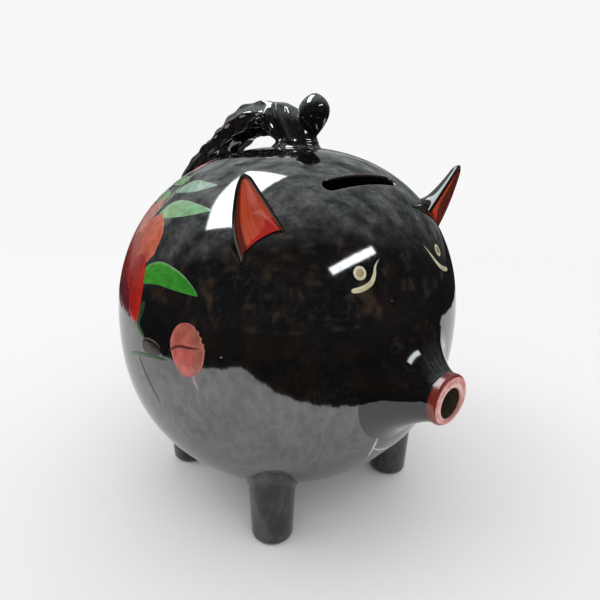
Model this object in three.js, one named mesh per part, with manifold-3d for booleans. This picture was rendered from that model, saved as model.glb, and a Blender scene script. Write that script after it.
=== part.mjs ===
// A round ceramic pig coin bank: a hollow body on four feet, with a snout spout, two ears,
// a branch handle with a bud on top, and a cork in the belly that lets the coins out.
// Millimetres, +Z up. The pig faces -Y and stands on z = 0.

import * as THREE from 'three';
import { mergeVertices } from 'three/addons/utils/BufferGeometryUtils.js';
import Module from 'manifold-3d';

const wasm = await Module();
wasm.setup();

// Driving dimensions
const bodyHalfWidth = 75.7;
const bodyHalfLength = 71.9;
const bodyHalfHeight = 73.0;
const bodyFullness = 2.2; // exponent of the body's outline: 2 is an ellipse, more is squarer
const wall = 4.5;
const groundClearance = 8.3; // from the floor to the belly
const jointGap = 0.3; // slip joint between two pieces that are stuck together

const slotLength = 37;
const slotWidth = 4.4;
const slotForward = 41.5; // from the body's centre towards the face

const snoutReach = 87.9; // from the body's centre to the snout's lip
const snoutDrop = 8.3; // below the body's centre
const snoutLipRadius = 9.5;
const snoutBoreRadius = 5.6;
const snoutLipRound = 1.6;
const snoutWaistRadius = 9.4;
const snoutFootRadius = 24;
const snoutFlareCurve = 0.75; // 1 is a quarter of an ellipse, and less is nearer to a cone
const snoutFootEdge = 0.6; // thickness left at the rim of the snout's foot

const earSide = 45.4; // middle of the ear's foot, from the body's centre
const earForward = 41.3;
const earSink = 0.7; // middle of the ear's foot, under the body's surface
const earFootWidth = 17.5;
const earSlant = { x: 14.3, y: 5.4, z: -9.3 }; // way of the left ear's foot, outwards and down
const earTipOut = 9.5; // tip of the ear, from the middle of its foot
const earTipForward = 3.9;
const earTipRise = 22.2;
const earTipWidth = 3.4;
const earBulge = 2.4; // swell of the ear's outer edge
const earDepth = 9.5; // from the front face to the back, at the foot
const earTipDepth = 2.2;
const earWall = 1.8;
const earRim = 1.4;

const footSide = 36.4;
const footForward = 34.4;
const footBack = 35.6;
const footRadius = 8.7;
const footTopRadius = 10.4;
const footRound = 2.4;

const handleSkew = THREE.MathUtils.degToRad(16); // the handle's tail end turns to the pig's right
const columnBack = -2.7; // middle of the handle's front column, along the handle
const columnHalfLength = 9.5;
const columnHalfWidth = 7.6;
const columnFlare = 0.16; // share by which the column widens at its foot
const strapTop = 18.0; // top of the arch above the body's top
const strapThickness = 13.2;
const strapHalfWidth = 8.2;
const rootBack = 52; // far end of the handle's root, along the handle
const rootHalfWidth = 13;
const rootThickness = 10;
const rootLift = 1.5; // middle of the root's end, above half its thickness

const knobBack = -10.7;
const knobRadius = 6.0;
const knobHeight = 17.5;
const knobSwell = 0.12; // share by which the bud is fuller above than below
const knobRise = 2.0; // top of the bud above the top of the arch

const corkRadius = 15;
const corkTaper = 1.5; // radius lost from the cork's big end to its small end
const corkHeight = 16;
const corkProud = 3;
const corkEdge = 0.8;

// Places that follow from the dimensions
const bodyCentre = new THREE.Vector3(
  0,
  (snoutReach - bodyHalfLength) / 2,
  groundClearance + bodyHalfHeight,
);
const floor = -bodyCentre.z; // seen from the body's centre

// Facet counts
const bodySides = 48;
const bodyRings = 24;
const cavitySides = 36;
const cavityRings = 18;
const roundSides = 24;
const spoutSides = 36;

// ---------------------------------------------------------------- solids and booleans

function signedVolume(position, index) {
  const a = new THREE.Vector3();
  const b = new THREE.Vector3();
  const c = new THREE.Vector3();
  let sum = 0;
  for (let i = 0; i < index.length; i += 3) {
    a.fromBufferAttribute(position, index[i]);
    b.fromBufferAttribute(position, index[i + 1]);
    c.fromBufferAttribute(position, index[i + 2]);
    sum += a.dot(b.cross(c));
  }
  return sum / 6;
}

// A closed three.js geometry as a manifold solid, facing outwards
function solidOf(geometry) {
  const bare = geometry.clone();
  bare.deleteAttribute('normal');
  bare.deleteAttribute('uv');
  const merged = mergeVertices(bare, 1e-4);
  const corners = merged.index.array;
  const kept = [];
  for (let i = 0; i < corners.length; i += 3) {
    const [a, b, c] = corners.subarray(i, i + 3);
    if (a !== b && b !== c && c !== a) kept.push(a, b, c);
  }
  if (signedVolume(merged.attributes.position, kept) < 0) kept.reverse();
  return new wasm.Manifold(new wasm.Mesh({
    numProp: 3,
    vertProperties: new Float32Array(merged.attributes.position.array),
    triVerts: new Uint32Array(kept),
  }));
}

function geometryOf(solid) {
  const mesh = solid.getMesh();
  const geometry = new THREE.BufferGeometry();
  geometry.setAttribute('position', new THREE.BufferAttribute(mesh.vertProperties, 3));
  geometry.setIndex(new THREE.BufferAttribute(mesh.triVerts, 1));
  geometry.computeVertexNormals();
  return geometry;
}

function boxSolid(sizeX, sizeY, sizeZ, x, y, z) {
  return solidOf(new THREE.BoxGeometry(sizeX, sizeY, sizeZ).translate(x, y, z));
}

// A unit cylinder bent to shape: place(turn, along, out) gives the point at an angle round it,
// a share of its length from 0 to 1, and a share of its radius
function loftSolid(sides, rings, place) {
  const geometry = new THREE.CylinderGeometry(1, 1, 1, sides, rings);
  const position = geometry.attributes.position;
  const point = new THREE.Vector3();
  for (let i = 0; i < position.count; i += 1) {
    point.fromBufferAttribute(position, i);
    const turn = Math.atan2(point.z, point.x);
    const out = Math.min(1, Math.hypot(point.x, point.z));
    place(turn, point.y + 0.5, out, point);
    position.setXYZ(i, point.x, point.y, point.z);
  }
  return solidOf(geometry);
}

// ---------------------------------------------------------------- body

// The body's outline, grown or shrunk all round by a distance
function bodySolid(grow, sides, rings) {
  const profile = [];
  for (let i = 0; i <= rings; i += 1) {
    const angle = -Math.PI / 2 + (Math.PI * i) / rings;
    const radius = Math.abs(Math.cos(angle)) ** (2 / bodyFullness);
    const height = Math.sign(angle) * Math.abs(Math.sin(angle)) ** (2 / bodyFullness);
    profile.push(new THREE.Vector2(i === 0 || i === rings ? 0 : radius, height));
  }
  const geometry = new THREE.LatheGeometry(profile, sides);
  geometry.rotateX(Math.PI / 2);
  geometry.scale(bodyHalfWidth + grow, bodyHalfLength + grow, bodyHalfHeight + grow);
  return solidOf(geometry);
}

const seat = bodySolid(jointGap, bodySides, bodyRings); // what every stuck-on piece rests against

// Height of the body's surface above its centre, over a place (x, y)
function bodyTopAt(x, y) {
  const spread = Math.hypot(x / bodyHalfWidth, y / bodyHalfLength) ** bodyFullness;
  return bodyHalfHeight * (1 - spread) ** (1 / bodyFullness);
}

// A plug along Z, from one height to another, with a cone's two radii
function plugSolid(lowRadius, highRadius, low, high) {
  const profile = [
    new THREE.Vector2(0, low),
    new THREE.Vector2(lowRadius, low),
    new THREE.Vector2(highRadius, high),
    new THREE.Vector2(0, high),
  ];
  return solidOf(new THREE.LatheGeometry(profile, roundSides).rotateX(Math.PI / 2));
}

// The cork's radius at a height above its big end
function corkRadiusAt(rise) {
  return corkRadius - (corkTaper * rise) / corkHeight;
}

const corkLow = -bodyHalfHeight - corkProud;

function bodyShell() {
  const slotTop = bodyTopAt(0, slotForward);
  const slot = boxSolid(slotLength, slotWidth, bodyHalfHeight, 0, -slotForward, slotTop);
  const boreLength = 2 * wall + bodyHalfLength / 2;
  const bore = solidOf(new THREE.CylinderGeometry(
    snoutBoreRadius, snoutBoreRadius, boreLength, roundSides,
  ).translate(0, -bodyHalfLength, -snoutDrop));
  const reach = corkHeight + corkProud;
  const corkHole = plugSolid(
    corkRadiusAt(-corkProud) + jointGap,
    corkRadiusAt(reach) + jointGap,
    corkLow - corkProud,
    corkLow + reach,
  );
  return bodySolid(0, bodySides, bodyRings)
    .subtract(bodySolid(-wall, cavitySides, cavityRings))
    .subtract(slot)
    .subtract(bore)
    .subtract(corkHole);
}

// ---------------------------------------------------------------- snout

// Distance of the body's face in front of its centre, at a place (x, z)
function bodyFrontAt(x, z) {
  const level = (1 - Math.abs(z / bodyHalfHeight) ** bodyFullness) ** (1 / bodyFullness);
  return bodyHalfLength * Math.sqrt(level ** 2 - (x / bodyHalfWidth) ** 2);
}

// A quarter turn of the rolled lip, as points of radius and reach
function lipArc(centreRadius, centreReach, startAngle) {
  const steps = 4;
  const points = [];
  for (let i = 0; i <= steps; i += 1) {
    const angle = startAngle - (Math.PI / 2) * (i / steps);
    points.push(new THREE.Vector2(
      centreRadius + snoutLipRound * Math.cos(angle),
      centreReach + snoutLipRound * Math.sin(angle),
    ));
  }
  return points;
}

// A trumpet-shaped spout: a rolled lip, a waist, and a foot that flares over the body.
// It is turned flat, then its foot is bent to lie along the body's face.
function snout() {
  const faceReach = bodyFrontAt(0, -snoutDrop);
  const lipReach = snoutReach - faceReach - snoutLipRound;
  const flareReach = lipReach - snoutLipRound;
  const flareSteps = 9;
  const profile = [new THREE.Vector2(snoutBoreRadius, -wall)];
  profile.push(...lipArc(snoutBoreRadius + snoutLipRound, lipReach, Math.PI));
  profile.push(...lipArc(snoutLipRadius - snoutLipRound, lipReach, Math.PI / 2));
  for (let i = 0; i <= flareSteps; i += 1) {
    const angle = (Math.PI / 2) * (i / flareSteps);
    const widening = (1 - Math.cos(angle)) ** snoutFlareCurve;
    profile.push(new THREE.Vector2(
      snoutWaistRadius + (snoutFootRadius - snoutWaistRadius) * widening,
      flareReach - (flareReach - snoutFootEdge - jointGap) * Math.sin(angle),
    ));
  }
  profile.push(new THREE.Vector2(snoutFootRadius, -wall));
  profile.push(profile[0].clone());
  const spout = new THREE.LatheGeometry(profile, spoutSides);
  const position = spout.attributes.position;
  for (let i = 0; i < position.count; i += 1) {
    const x = position.getX(i);
    const z = position.getZ(i) - snoutDrop;
    const radius = Math.hypot(x, position.getZ(i));
    const bend = THREE.MathUtils.smoothstep(radius, snoutWaistRadius, snoutFootRadius);
    const face = THREE.MathUtils.lerp(faceReach, bodyFrontAt(x, z), bend);
    position.setXYZ(i, x, -face - position.getY(i), z);
  }
  return solidOf(spout).subtract(seat);
}

// ---------------------------------------------------------------- ears

// The front half of a blunt cone is cut away flat, then the ear is scooped out from the front.
// side is 1 for the pig's left ear and -1 for its right.
function ear(side) {
  const footHeight = bodyTopAt(earSide, earForward) - earSink;
  const foot = new THREE.Vector3(side * earSide, -earForward, footHeight);
  const rise = new THREE.Vector3(side * earTipOut, -earTipForward, earTipRise);
  const across = new THREE.Vector3(side * earSlant.x, earSlant.y, earSlant.z).normalize();
  const back = new THREE.Vector3().crossVectors(across, rise).normalize().multiplyScalar(-side);
  const sunk = 0.35; // share of the ear's height that reaches down into the body

  // inset keeps the cone inside the rim, and thin takes the wall off its depth
  const cone = (inset, thin) => loftSolid(20, 8, (turn, along, out, point) => {
    const share = along * (1 + sunk) - sunk;
    const taper = THREE.MathUtils.lerp(earFootWidth, earTipWidth, share) / 2;
    const bulge = Math.cos(turn) > 0 ? earBulge * Math.sin(Math.PI * Math.max(0, share)) : 0;
    const halfWidth = taper + bulge * Math.cos(turn) - inset;
    const depth = earTipDepth + (earDepth - earTipDepth) * (1 - share) ** 1.5 - thin;
    point.copy(foot);
    point.addScaledVector(rise, share * (1 - inset / earTipRise));
    point.addScaledVector(across, out * halfWidth * Math.cos(turn));
    point.addScaledVector(back, out * depth * Math.sin(turn));
  });

  const frontSize = 4 * earTipRise;
  const front = new THREE.BoxGeometry(frontSize, frontSize, frontSize);
  front.translate(0, 0, -frontSize / 2);
  front.applyMatrix4(new THREE.Matrix4().makeBasis(
    across,
    new THREE.Vector3().crossVectors(back, across),
    back,
  ));
  front.translate(foot.x, foot.y, foot.z);
  return cone(0, 0)
    .subtract(solidOf(front))
    .subtract(cone(earRim, earWall))
    .subtract(seat);
}

// ---------------------------------------------------------------- feet

function foot(x, y) {
  const profile = [new THREE.Vector2(0, floor)];
  const roundSteps = 4;
  for (let i = 0; i <= roundSteps; i += 1) {
    const angle = -Math.PI / 2 + (Math.PI / 2) * (i / roundSteps);
    profile.push(new THREE.Vector2(
      footRadius - footRound + footRound * Math.cos(angle),
      floor + footRound + footRound * Math.sin(angle),
    ));
  }
  profile.push(new THREE.Vector2(footTopRadius, -bodyHalfHeight / 2));
  profile.push(new THREE.Vector2(0, -bodyHalfHeight / 2));
  const leg = new THREE.LatheGeometry(profile, roundSides).rotateX(Math.PI / 2);
  return solidOf(leg.translate(x, y, 0)).subtract(seat);
}

// ---------------------------------------------------------------- handle

// A point over the handle's own line: along it, across it, and above the body's centre
function overHandle(along, across, height, point) {
  point.set(
    -along * Math.sin(handleSkew) + across * Math.cos(handleSkew),
    along * Math.cos(handleSkew) + across * Math.sin(handleSkew),
    height,
  );
}

const knobLow = bodyHalfHeight + strapTop + knobRise - knobHeight; // bottom of the bud

function knobProfile(grow) {
  const steps = 12;
  const profile = [];
  for (let i = 0; i <= steps; i += 1) {
    const angle = -Math.PI / 2 + (Math.PI * i) / steps;
    const swell = 1 + knobSwell * Math.sin(angle);
    const radius = (knobRadius + grow) * Math.cos(angle) * swell;
    const height = knobLow + (knobHeight / 2) * (1 + Math.sin(angle)) + grow * Math.sin(angle);
    profile.push(new THREE.Vector2(i === 0 || i === steps ? 0 : radius, height));
  }
  return profile;
}

function knobSolid(grow) {
  const place = new THREE.Vector3();
  overHandle(knobBack, 0, 0, place);
  const bud = new THREE.LatheGeometry(knobProfile(grow), 24).rotateX(Math.PI / 2);
  return solidOf(bud.translate(place.x, place.y, 0));
}

// The arch and its root are one strap, bent along a curve; its ends are the curve's ends
function strap() {
  const top = bodyHalfHeight + strapTop;
  const middle = top - strapThickness / 2;
  const rootMiddle = bodyTopAt(0, rootBack) + rootThickness / 2 + rootLift;
  const line = new THREE.CatmullRomCurve3([
    new THREE.Vector3(knobBack + knobRadius / 2, middle - 1.5, 0),
    new THREE.Vector3(0, middle - 0.8, 0),
    new THREE.Vector3(9, middle, 0),
    new THREE.Vector3(19, middle - 1.6, 0),
    new THREE.Vector3(31, middle - 7.6, 0),
    new THREE.Vector3(42, middle - 15.8, 0),
    new THREE.Vector3(rootBack - 2, rootMiddle, 0),
  ]);
  const spread = (share) => THREE.MathUtils.smoothstep(share, 0.6, 0.9);
  return loftSolid(20, 18, (turn, share, out, point) => {
    const spot = line.getPoint(share);
    const way = line.getTangent(share);
    const halfWidth = THREE.MathUtils.lerp(strapHalfWidth, rootHalfWidth, spread(share));
    const halfDepth = THREE.MathUtils.lerp(strapThickness, rootThickness, spread(share)) / 2;
    const lift = out * halfDepth * Math.sin(turn);
    overHandle(
      spot.x - way.y * lift,
      out * halfWidth * Math.cos(turn),
      spot.y + way.x * lift,
      point,
    );
  });
}

function column() {
  const top = bodyHalfHeight + strapTop - strapThickness / 2;
  return loftSolid(24, 6, (turn, share, out, point) => {
    const flare = 1 + columnFlare * (1 - share) ** 3;
    overHandle(
      columnBack + out * columnHalfLength * flare * Math.cos(turn),
      out * columnHalfWidth * flare * Math.sin(turn),
      THREE.MathUtils.lerp(bodyHalfHeight - 2 * wall, top, share),
      point,
    );
  });
}

function handleBranch() {
  return strap().add(column()).subtract(knobSolid(jointGap)).subtract(seat);
}

// ---------------------------------------------------------------- cork

function bellyCork() {
  const profile = [
    new THREE.Vector2(0, corkLow),
    new THREE.Vector2(corkRadius - corkEdge, corkLow),
    new THREE.Vector2(corkRadiusAt(corkEdge), corkLow + corkEdge),
    new THREE.Vector2(corkRadiusAt(corkHeight - corkEdge), corkLow + corkHeight - corkEdge),
    new THREE.Vector2(corkRadiusAt(corkHeight) - corkEdge, corkLow + corkHeight),
    new THREE.Vector2(0, corkLow + corkHeight),
  ];
  return solidOf(new THREE.LatheGeometry(profile, roundSides).rotateX(Math.PI / 2));
}

// ---------------------------------------------------------------- the assembly

const glaze = { color: 0x0b0b0d, roughness: 0.06, metalness: 0 };
const coral = { color: 0xc4473f, roughness: 0.15, metalness: 0 };
const bark = { color: 0xb98a5b, roughness: 0.9, metalness: 0 };

const pig = new THREE.Group();
pig.position.copy(bodyCentre);

function addPiece(name, solid, look) {
  const mesh = new THREE.Mesh(geometryOf(solid), new THREE.MeshStandardMaterial(look));
  mesh.name = name;
  pig.add(mesh);
}

addPiece('body_shell', bodyShell(), glaze);
addPiece('snout', snout(), coral);
addPiece('ear_left', ear(1), coral);
addPiece('ear_right', ear(-1), coral);
for (const [end, y] of [['front', -footForward], ['rear', footBack]]) {
  addPiece(`foot_${end}_left`, foot(footSide, y), glaze);
  addPiece(`foot_${end}_right`, foot(-footSide, y), glaze);
}
addPiece('handle_branch', handleBranch(), glaze);
addPiece('handle_bud', knobSolid(0), glaze);
addPiece('belly_cork', bellyCork(), bark);

const assembly = new THREE.Group();
assembly.add(pig);

export default assembly;
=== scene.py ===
# %% [markdown]
# # A round pig coin bank in mirror-black glaze
# The bank is a thrown clay ball on four feet, with a snout spout, two scooped ears and a gnarled
# branch for a handle. Flowers, brows and a smile are painted over the glaze in enamel.
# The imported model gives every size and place, and each cell below builds one piece on it.

import bpy
import numpy as np
from mathutils import Matrix, Vector


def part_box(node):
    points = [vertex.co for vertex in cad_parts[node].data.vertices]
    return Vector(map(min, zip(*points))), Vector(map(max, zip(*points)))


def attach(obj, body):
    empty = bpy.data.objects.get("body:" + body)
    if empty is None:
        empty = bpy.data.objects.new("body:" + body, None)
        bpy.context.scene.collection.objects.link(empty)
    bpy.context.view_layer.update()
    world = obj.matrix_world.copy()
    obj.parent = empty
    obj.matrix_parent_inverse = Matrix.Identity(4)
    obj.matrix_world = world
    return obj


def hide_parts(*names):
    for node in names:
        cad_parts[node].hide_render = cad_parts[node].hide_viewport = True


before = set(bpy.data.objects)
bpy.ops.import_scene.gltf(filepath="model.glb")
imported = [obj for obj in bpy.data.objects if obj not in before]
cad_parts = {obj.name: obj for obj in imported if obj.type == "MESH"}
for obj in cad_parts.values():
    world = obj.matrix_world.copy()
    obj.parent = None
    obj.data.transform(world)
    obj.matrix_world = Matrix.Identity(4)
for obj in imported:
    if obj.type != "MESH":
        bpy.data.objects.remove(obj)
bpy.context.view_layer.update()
MM = 0.001
print("nodes:", sorted(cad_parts))

# %% [markdown]
# ## The body's outline
# Every stuck-on piece has to meet the ball, so the ball is a formula first and a mesh later.
# A superellipsoid is an ellipsoid with an exponent a little over 2, which fills out its shoulders
# the way a thrown and gently flattened ball does.

# %% Body outline
shell_low, shell_high = (np.array(corner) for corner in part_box("body_shell"))
HALF_HEIGHT = 73.0 * MM
BODY_HALF = np.array([
    (shell_high[0] - shell_low[0]) / 2,
    (shell_high[1] - shell_low[1]) / 2,
    HALF_HEIGHT,
])
CENTRE = np.array([0.0, (shell_high[1] + shell_low[1]) / 2, shell_high[2] - HALF_HEIGHT])
FULLNESS = 2.2
WALL = 4.5 * MM


def outline_value(spot, half):
    """1 on the outline, less inside: (length of (x/a, y/b)) to the power p, plus |z/c| to the power p."""
    level = np.hypot(spot[..., 0] / half[..., 0], spot[..., 1] / half[..., 1])
    return level**FULLNESS + np.abs(spot[..., 2] / half[..., 2]) ** FULLNESS


def on_body(way, lift=0.0):
    """Where a ray from the centre leaves the outline grown by lift: way times its value to the -1/p."""
    half = BODY_HALF + np.asarray(lift, float)[..., None]
    scale = outline_value(way, half) ** (-1 / FULLNESS)
    return CENTRE + way * scale[..., None]


def body_normal(point):
    """The outline's gradient at a point, made one long."""
    spot = point - CENTRE
    level = np.hypot(spot[..., 0] / BODY_HALF[0], spot[..., 1] / BODY_HALF[1])
    steep = np.maximum(level, 1e-6) ** (FULLNESS - 2)
    rise = np.abs(spot[..., 2] / BODY_HALF[2]) ** (FULLNESS - 1) * np.sign(spot[..., 2])
    slope = np.stack([
        steep * spot[..., 0] / BODY_HALF[0] ** 2,
        steep * spot[..., 1] / BODY_HALF[1] ** 2,
        rise / BODY_HALF[2],
    ], -1)
    return slope / np.linalg.norm(slope, axis=-1, keepdims=True)


def gap_to_body(point):
    """Distance from the outline along a ray from the centre, negative inside."""
    spot = point - CENTRE
    return (1 - outline_value(spot, BODY_HALF) ** (-1 / FULLNESS)) * np.linalg.norm(spot, axis=-1)


def stay_outside(point, depth):
    """Points deeper than depth under the outline are pushed out to that depth."""
    spot = point - CENTRE
    half = BODY_HALF - depth
    value = outline_value(spot, half)
    scale = np.where(value < 1, np.maximum(value, 1e-9) ** (-1 / FULLNESS), 1.0)
    return CENTRE + spot * scale[..., None]


def top_at(x, y):
    """Height of the outline over a place, seen from the centre."""
    return BODY_HALF[2] * (1 - np.hypot(x / BODY_HALF[0], y / BODY_HALF[1]) ** FULLNESS) ** (1 / FULLNESS)


def face_at(x, z):
    """Distance of the outline in front of the centre, at a place seen from the front."""
    level = (1 - np.abs(z / BODY_HALF[2]) ** FULLNESS) ** (1 / FULLNESS)
    return BODY_HALF[1] * np.sqrt(level**2 - (x / BODY_HALF[0]) ** 2)


def smooth(value, start, end):
    """0 before start, 1 after end, and a smooth step between."""
    share = np.clip((value - start) / (end - start), 0, 1)
    return share * share * (3 - 2 * share)


print("centre (mm):", np.round(CENTRE / MM, 2), "half sizes (mm):", np.round(BODY_HALF / MM, 2))

# %% [markdown]
# ## From a grid of points to a piece
# Each piece is a grid of points with closed columns. Its rows either close on themselves, as on a
# ring, or end in two poles. The helper joins the grid into faces, turns them outwards by the sign
# of the enclosed volume, and stores what the finishes need to know as attributes.

# %% Piece helper
def enclosed_volume(points, faces):
    """Six times the volume inside triangles or quads: a . (b x c) summed, negative if turned inwards."""
    a, b, c = (points[faces[:, k]] for k in range(3))
    volume = np.einsum("ij,ij->", a, np.cross(b, c))
    if faces.shape[1] == 4:
        volume += np.einsum("ij,ij->", a, np.cross(c, points[faces[:, 3]]))
    return volume


def grid_faces(index, ring):
    """Quads between neighbouring rows of a grid of vertex numbers; columns always close."""
    rows = np.vstack([index, index[:1]]) if ring else index
    near, far = rows[:-1], rows[1:]
    return np.stack([near, np.roll(near, -1, 1), np.roll(far, -1, 1), far], -1).reshape(-1, 4)


def make_piece(name, points, body, slot, finish, ring=False, quads=None, **layers):
    """A closed mesh from a (rows, columns, 3) grid, riding on a body, with one finish. Where the rows
    don't close on themselves, each end row gets a fan of triangles to its own middle. Each layer is
    a value or a vector for every point of the grid, kept as an attribute for the finish."""
    rows, columns = points.shape[:2]
    index = np.arange(rows * columns).reshape(rows, columns)
    flat = points.reshape(-1, 3)
    quads = grid_faces(index, ring) if quads is None else quads
    caps = np.empty((0, 3), int)
    if not ring:
        flat = np.vstack([flat, points[0].mean(0), points[-1].mean(0)])
        first, last = index[0], index[-1]
        low_cap = np.stack([np.roll(first, -1), first, np.full(columns, rows * columns)], -1)
        high_cap = np.stack([last, np.roll(last, -1), np.full(columns, rows * columns + 1)], -1)
        caps = np.vstack([low_cap, high_cap])
    if enclosed_volume(flat, quads) + enclosed_volume(flat, caps) < 0:
        quads, caps = quads[:, ::-1], caps[:, ::-1]
    mesh = bpy.data.meshes.new(name)
    mesh.from_pydata(flat.tolist(), [], quads.tolist() + caps.tolist())
    mesh.polygons.foreach_set("use_smooth", np.ones(len(mesh.polygons), bool))
    for layer, values in layers.items():
        values = np.asarray(values, float)
        deep = values.shape[2:]
        spread = values.reshape(rows * columns, -1)
        if not ring:
            ends = [values[0].reshape(columns, -1).mean(0), values[-1].reshape(columns, -1).mean(0)]
            spread = np.vstack([spread, *ends])
        kind, field = ("FLOAT_VECTOR", "vector") if deep else ("FLOAT", "value")
        mesh.attributes.new(layer, kind, "POINT").data.foreach_set(field, spread.ravel())
    mesh.materials.append(finish)
    mesh.update()
    piece = bpy.data.objects.new(name, mesh)
    bpy.context.scene.collection.objects.link(piece)
    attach(piece, body)
    print(f"{name}: {len(mesh.polygons)} faces")
    return piece


# %% [markdown]
# ## Writing finishes as sums
# A finish is a small program of shader nodes. Value wraps one socket, so that mottling and wear
# can be written as sums, and Finish makes every other node with one method.

# %% Shader helpers
class Value:
    """A number that changes over the surface, and the sums that it can take part in."""

    def __init__(self, finish, socket):
        self.finish = finish
        self.socket = socket

    def sum_with(self, operation, first, second):
        """One Math node on two values or numbers."""
        made = self.finish.node("ShaderNodeMath", {"operation": operation}, {0: first, 1: second})
        return Value(self.finish, made.outputs[0])

    def __add__(self, other):
        return self.sum_with("ADD", self, other)

    def __sub__(self, other):
        return self.sum_with("SUBTRACT", self, other)

    def __rsub__(self, other):
        return self.sum_with("SUBTRACT", other, self)

    def __mul__(self, other):
        return self.sum_with("MULTIPLY", self, other)

    __radd__ = __add__
    __rmul__ = __mul__

    def step(self, start, end, low=0.0, high=1.0):
        """low before start, high after end, smooth between."""
        made = self.finish.node(
            "ShaderNodeMapRange",
            {"interpolation_type": "SMOOTHSTEP"},
            {"Value": self, "From Min": start, "From Max": end, "To Min": low, "To Max": high},
        )
        return Value(self.finish, made.outputs["Result"])


class Finish:
    """One named finish with a Principled surface, and the patterns that feed it."""

    def __init__(self, name, **constant):
        self.material = bpy.data.materials.new(name)
        self.material.use_nodes = True
        self.tree = self.material.node_tree
        self.tree.nodes.clear()
        self.surface = self.node("ShaderNodeBsdfPrincipled", {}, constant)
        out = self.node("ShaderNodeOutputMaterial", {}, {})
        self.tree.links.new(self.surface.outputs[0], out.inputs["Surface"])
        print("finish:", name)

    def node(self, kind, settings, inputs):
        """Any node: its type, its settings, then the values or links of its sockets."""
        made = self.tree.nodes.new(kind)
        for name, setting in settings.items():
            setattr(made, name, setting)
        for name, value in inputs.items():
            self.feed(made.inputs[name], value)
        return made

    def feed(self, socket, value):
        """Links a Value to a socket, or sets a number or a colour on it."""
        if isinstance(value, Value):
            self.tree.links.new(value.socket, socket)
        elif isinstance(value, tuple) and socket.type == "RGBA":
            socket.default_value = (*value, 1.0)
        else:
            socket.default_value = value

    def place(self):
        """The place in the object's own metres."""
        made = self.node("ShaderNodeTexCoord", {}, {})
        return Value(self, made.outputs["Object"])

    def stretched(self, place, scale):
        """A place or colour multiplied part by part."""
        made = self.node("ShaderNodeVectorMath", {"operation": "MULTIPLY"}, {0: place, 1: scale})
        return Value(self, made.outputs[0])

    def layer(self, name, output="Fac"):
        """What make_piece stored on the mesh under this name."""
        made = self.node("ShaderNodeAttribute", {"attribute_name": name}, {})
        return Value(self, made.outputs[output])

    def noise(self, place, scale, detail=3.0, roughness=0.5):
        """Clouds, from 0 to 1 round a middle of a half; scale counts them in a metre."""
        inputs = {"Vector": place, "Scale": scale, "Detail": detail, "Roughness": roughness}
        made = self.node("ShaderNodeTexNoise", {}, inputs)
        return Value(self, made.outputs["Fac"])

    def cells(self, place, scale):
        """Distance to the nearest of many scattered points."""
        made = self.node("ShaderNodeTexVoronoi", {}, {"Vector": place, "Scale": scale})
        return Value(self, made.outputs["Distance"])

    def mix(self, share, low, high):
        """The low colour where share is 0, the high colour where it is 1."""
        made = self.node("ShaderNodeMix", {"data_type": "RGBA"}, {0: share, 6: low, 7: high})
        return Value(self, made.outputs[2])

    # The next four say what the surface takes: each may vary over the piece.
    def colour(self, value):
        self.feed(self.surface.inputs["Base Color"], value)

    def glow(self, value):
        self.feed(self.surface.inputs["Emission Color"], value)

    def metal(self, value):
        self.feed(self.surface.inputs["Metallic"], value)

    def roughness(self, value):
        self.feed(self.surface.inputs["Roughness"], value)

    def bump(self, height, distance, strength):
        """Tilts the shading as if the surface stood up by height times distance."""
        inputs = {"Height": height, "Distance": distance, "Strength": strength}
        made = self.node("ShaderNodeBump", {}, inputs)
        self.tree.links.new(made.outputs["Normal"], self.surface.inputs["Normal"])


# %% [markdown]
# ## The black glaze
# An iron-rich glaze fired until it pools like ink. It is almost black, but where it runs thin on
# an edge the red clay shows through as brown, so each piece carries a "thin" value for its edges.
# A high index of refraction gives the strong reflection that metal oxides give such a glaze.
# Fine noise in the bump makes the reflections swim, and a scatter of dust dulls the polish. Over
# it lies a veil of greyish grain, and soft clouds of metal make the gloss stronger in patches.

# %% Glaze
INK = (0.0035, 0.0035, 0.0042)
WARM_INK = (0.010, 0.0055, 0.0035)
THIN_BROWN = (0.13, 0.048, 0.018)
DUST = (0.30, 0.30, 0.28)
VEIL = (0.060, 0.064, 0.058)
GLAZE_INDEX = 2.5
BUMP_DEPTH = 1.0 * MM


def dust_specks(finish, place):
    """1 on small round specks, and only where a broad noise is high."""
    specks = finish.cells(place, 170.0).step(0.045, 0.075, 1.0, 0.0)
    return specks * finish.noise(place, 95.0, 1.0).step(0.60, 0.66)


def glaze_surface(finish):
    """Colour, polish and ripple of the black glaze, which the painted finishes build on. The edges
    named thin turn brown, and mottling breaks up where they end."""
    place = finish.place()
    mottle = finish.noise(place, 60.0, 4.0, 0.6)
    fine = finish.noise(place, 420.0, 3.0, 0.6)
    ink = finish.mix(mottle.step(0.45, 0.72), INK, WARM_INK)
    thin = (finish.layer("thin") * 1.15 + mottle * 0.5 - 0.25).step(0.3, 0.95)
    glaze = finish.mix(thin, ink, THIN_BROWN)
    polish = fine * 0.05 + mottle * 0.06 + dust_specks(finish, place) * 0.4 + 0.01
    ripple = finish.noise(place, 26.0, 2.0, 0.5) * 0.75 + mottle * 0.10 + fine * 0.006
    return glaze, polish, ripple


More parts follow.
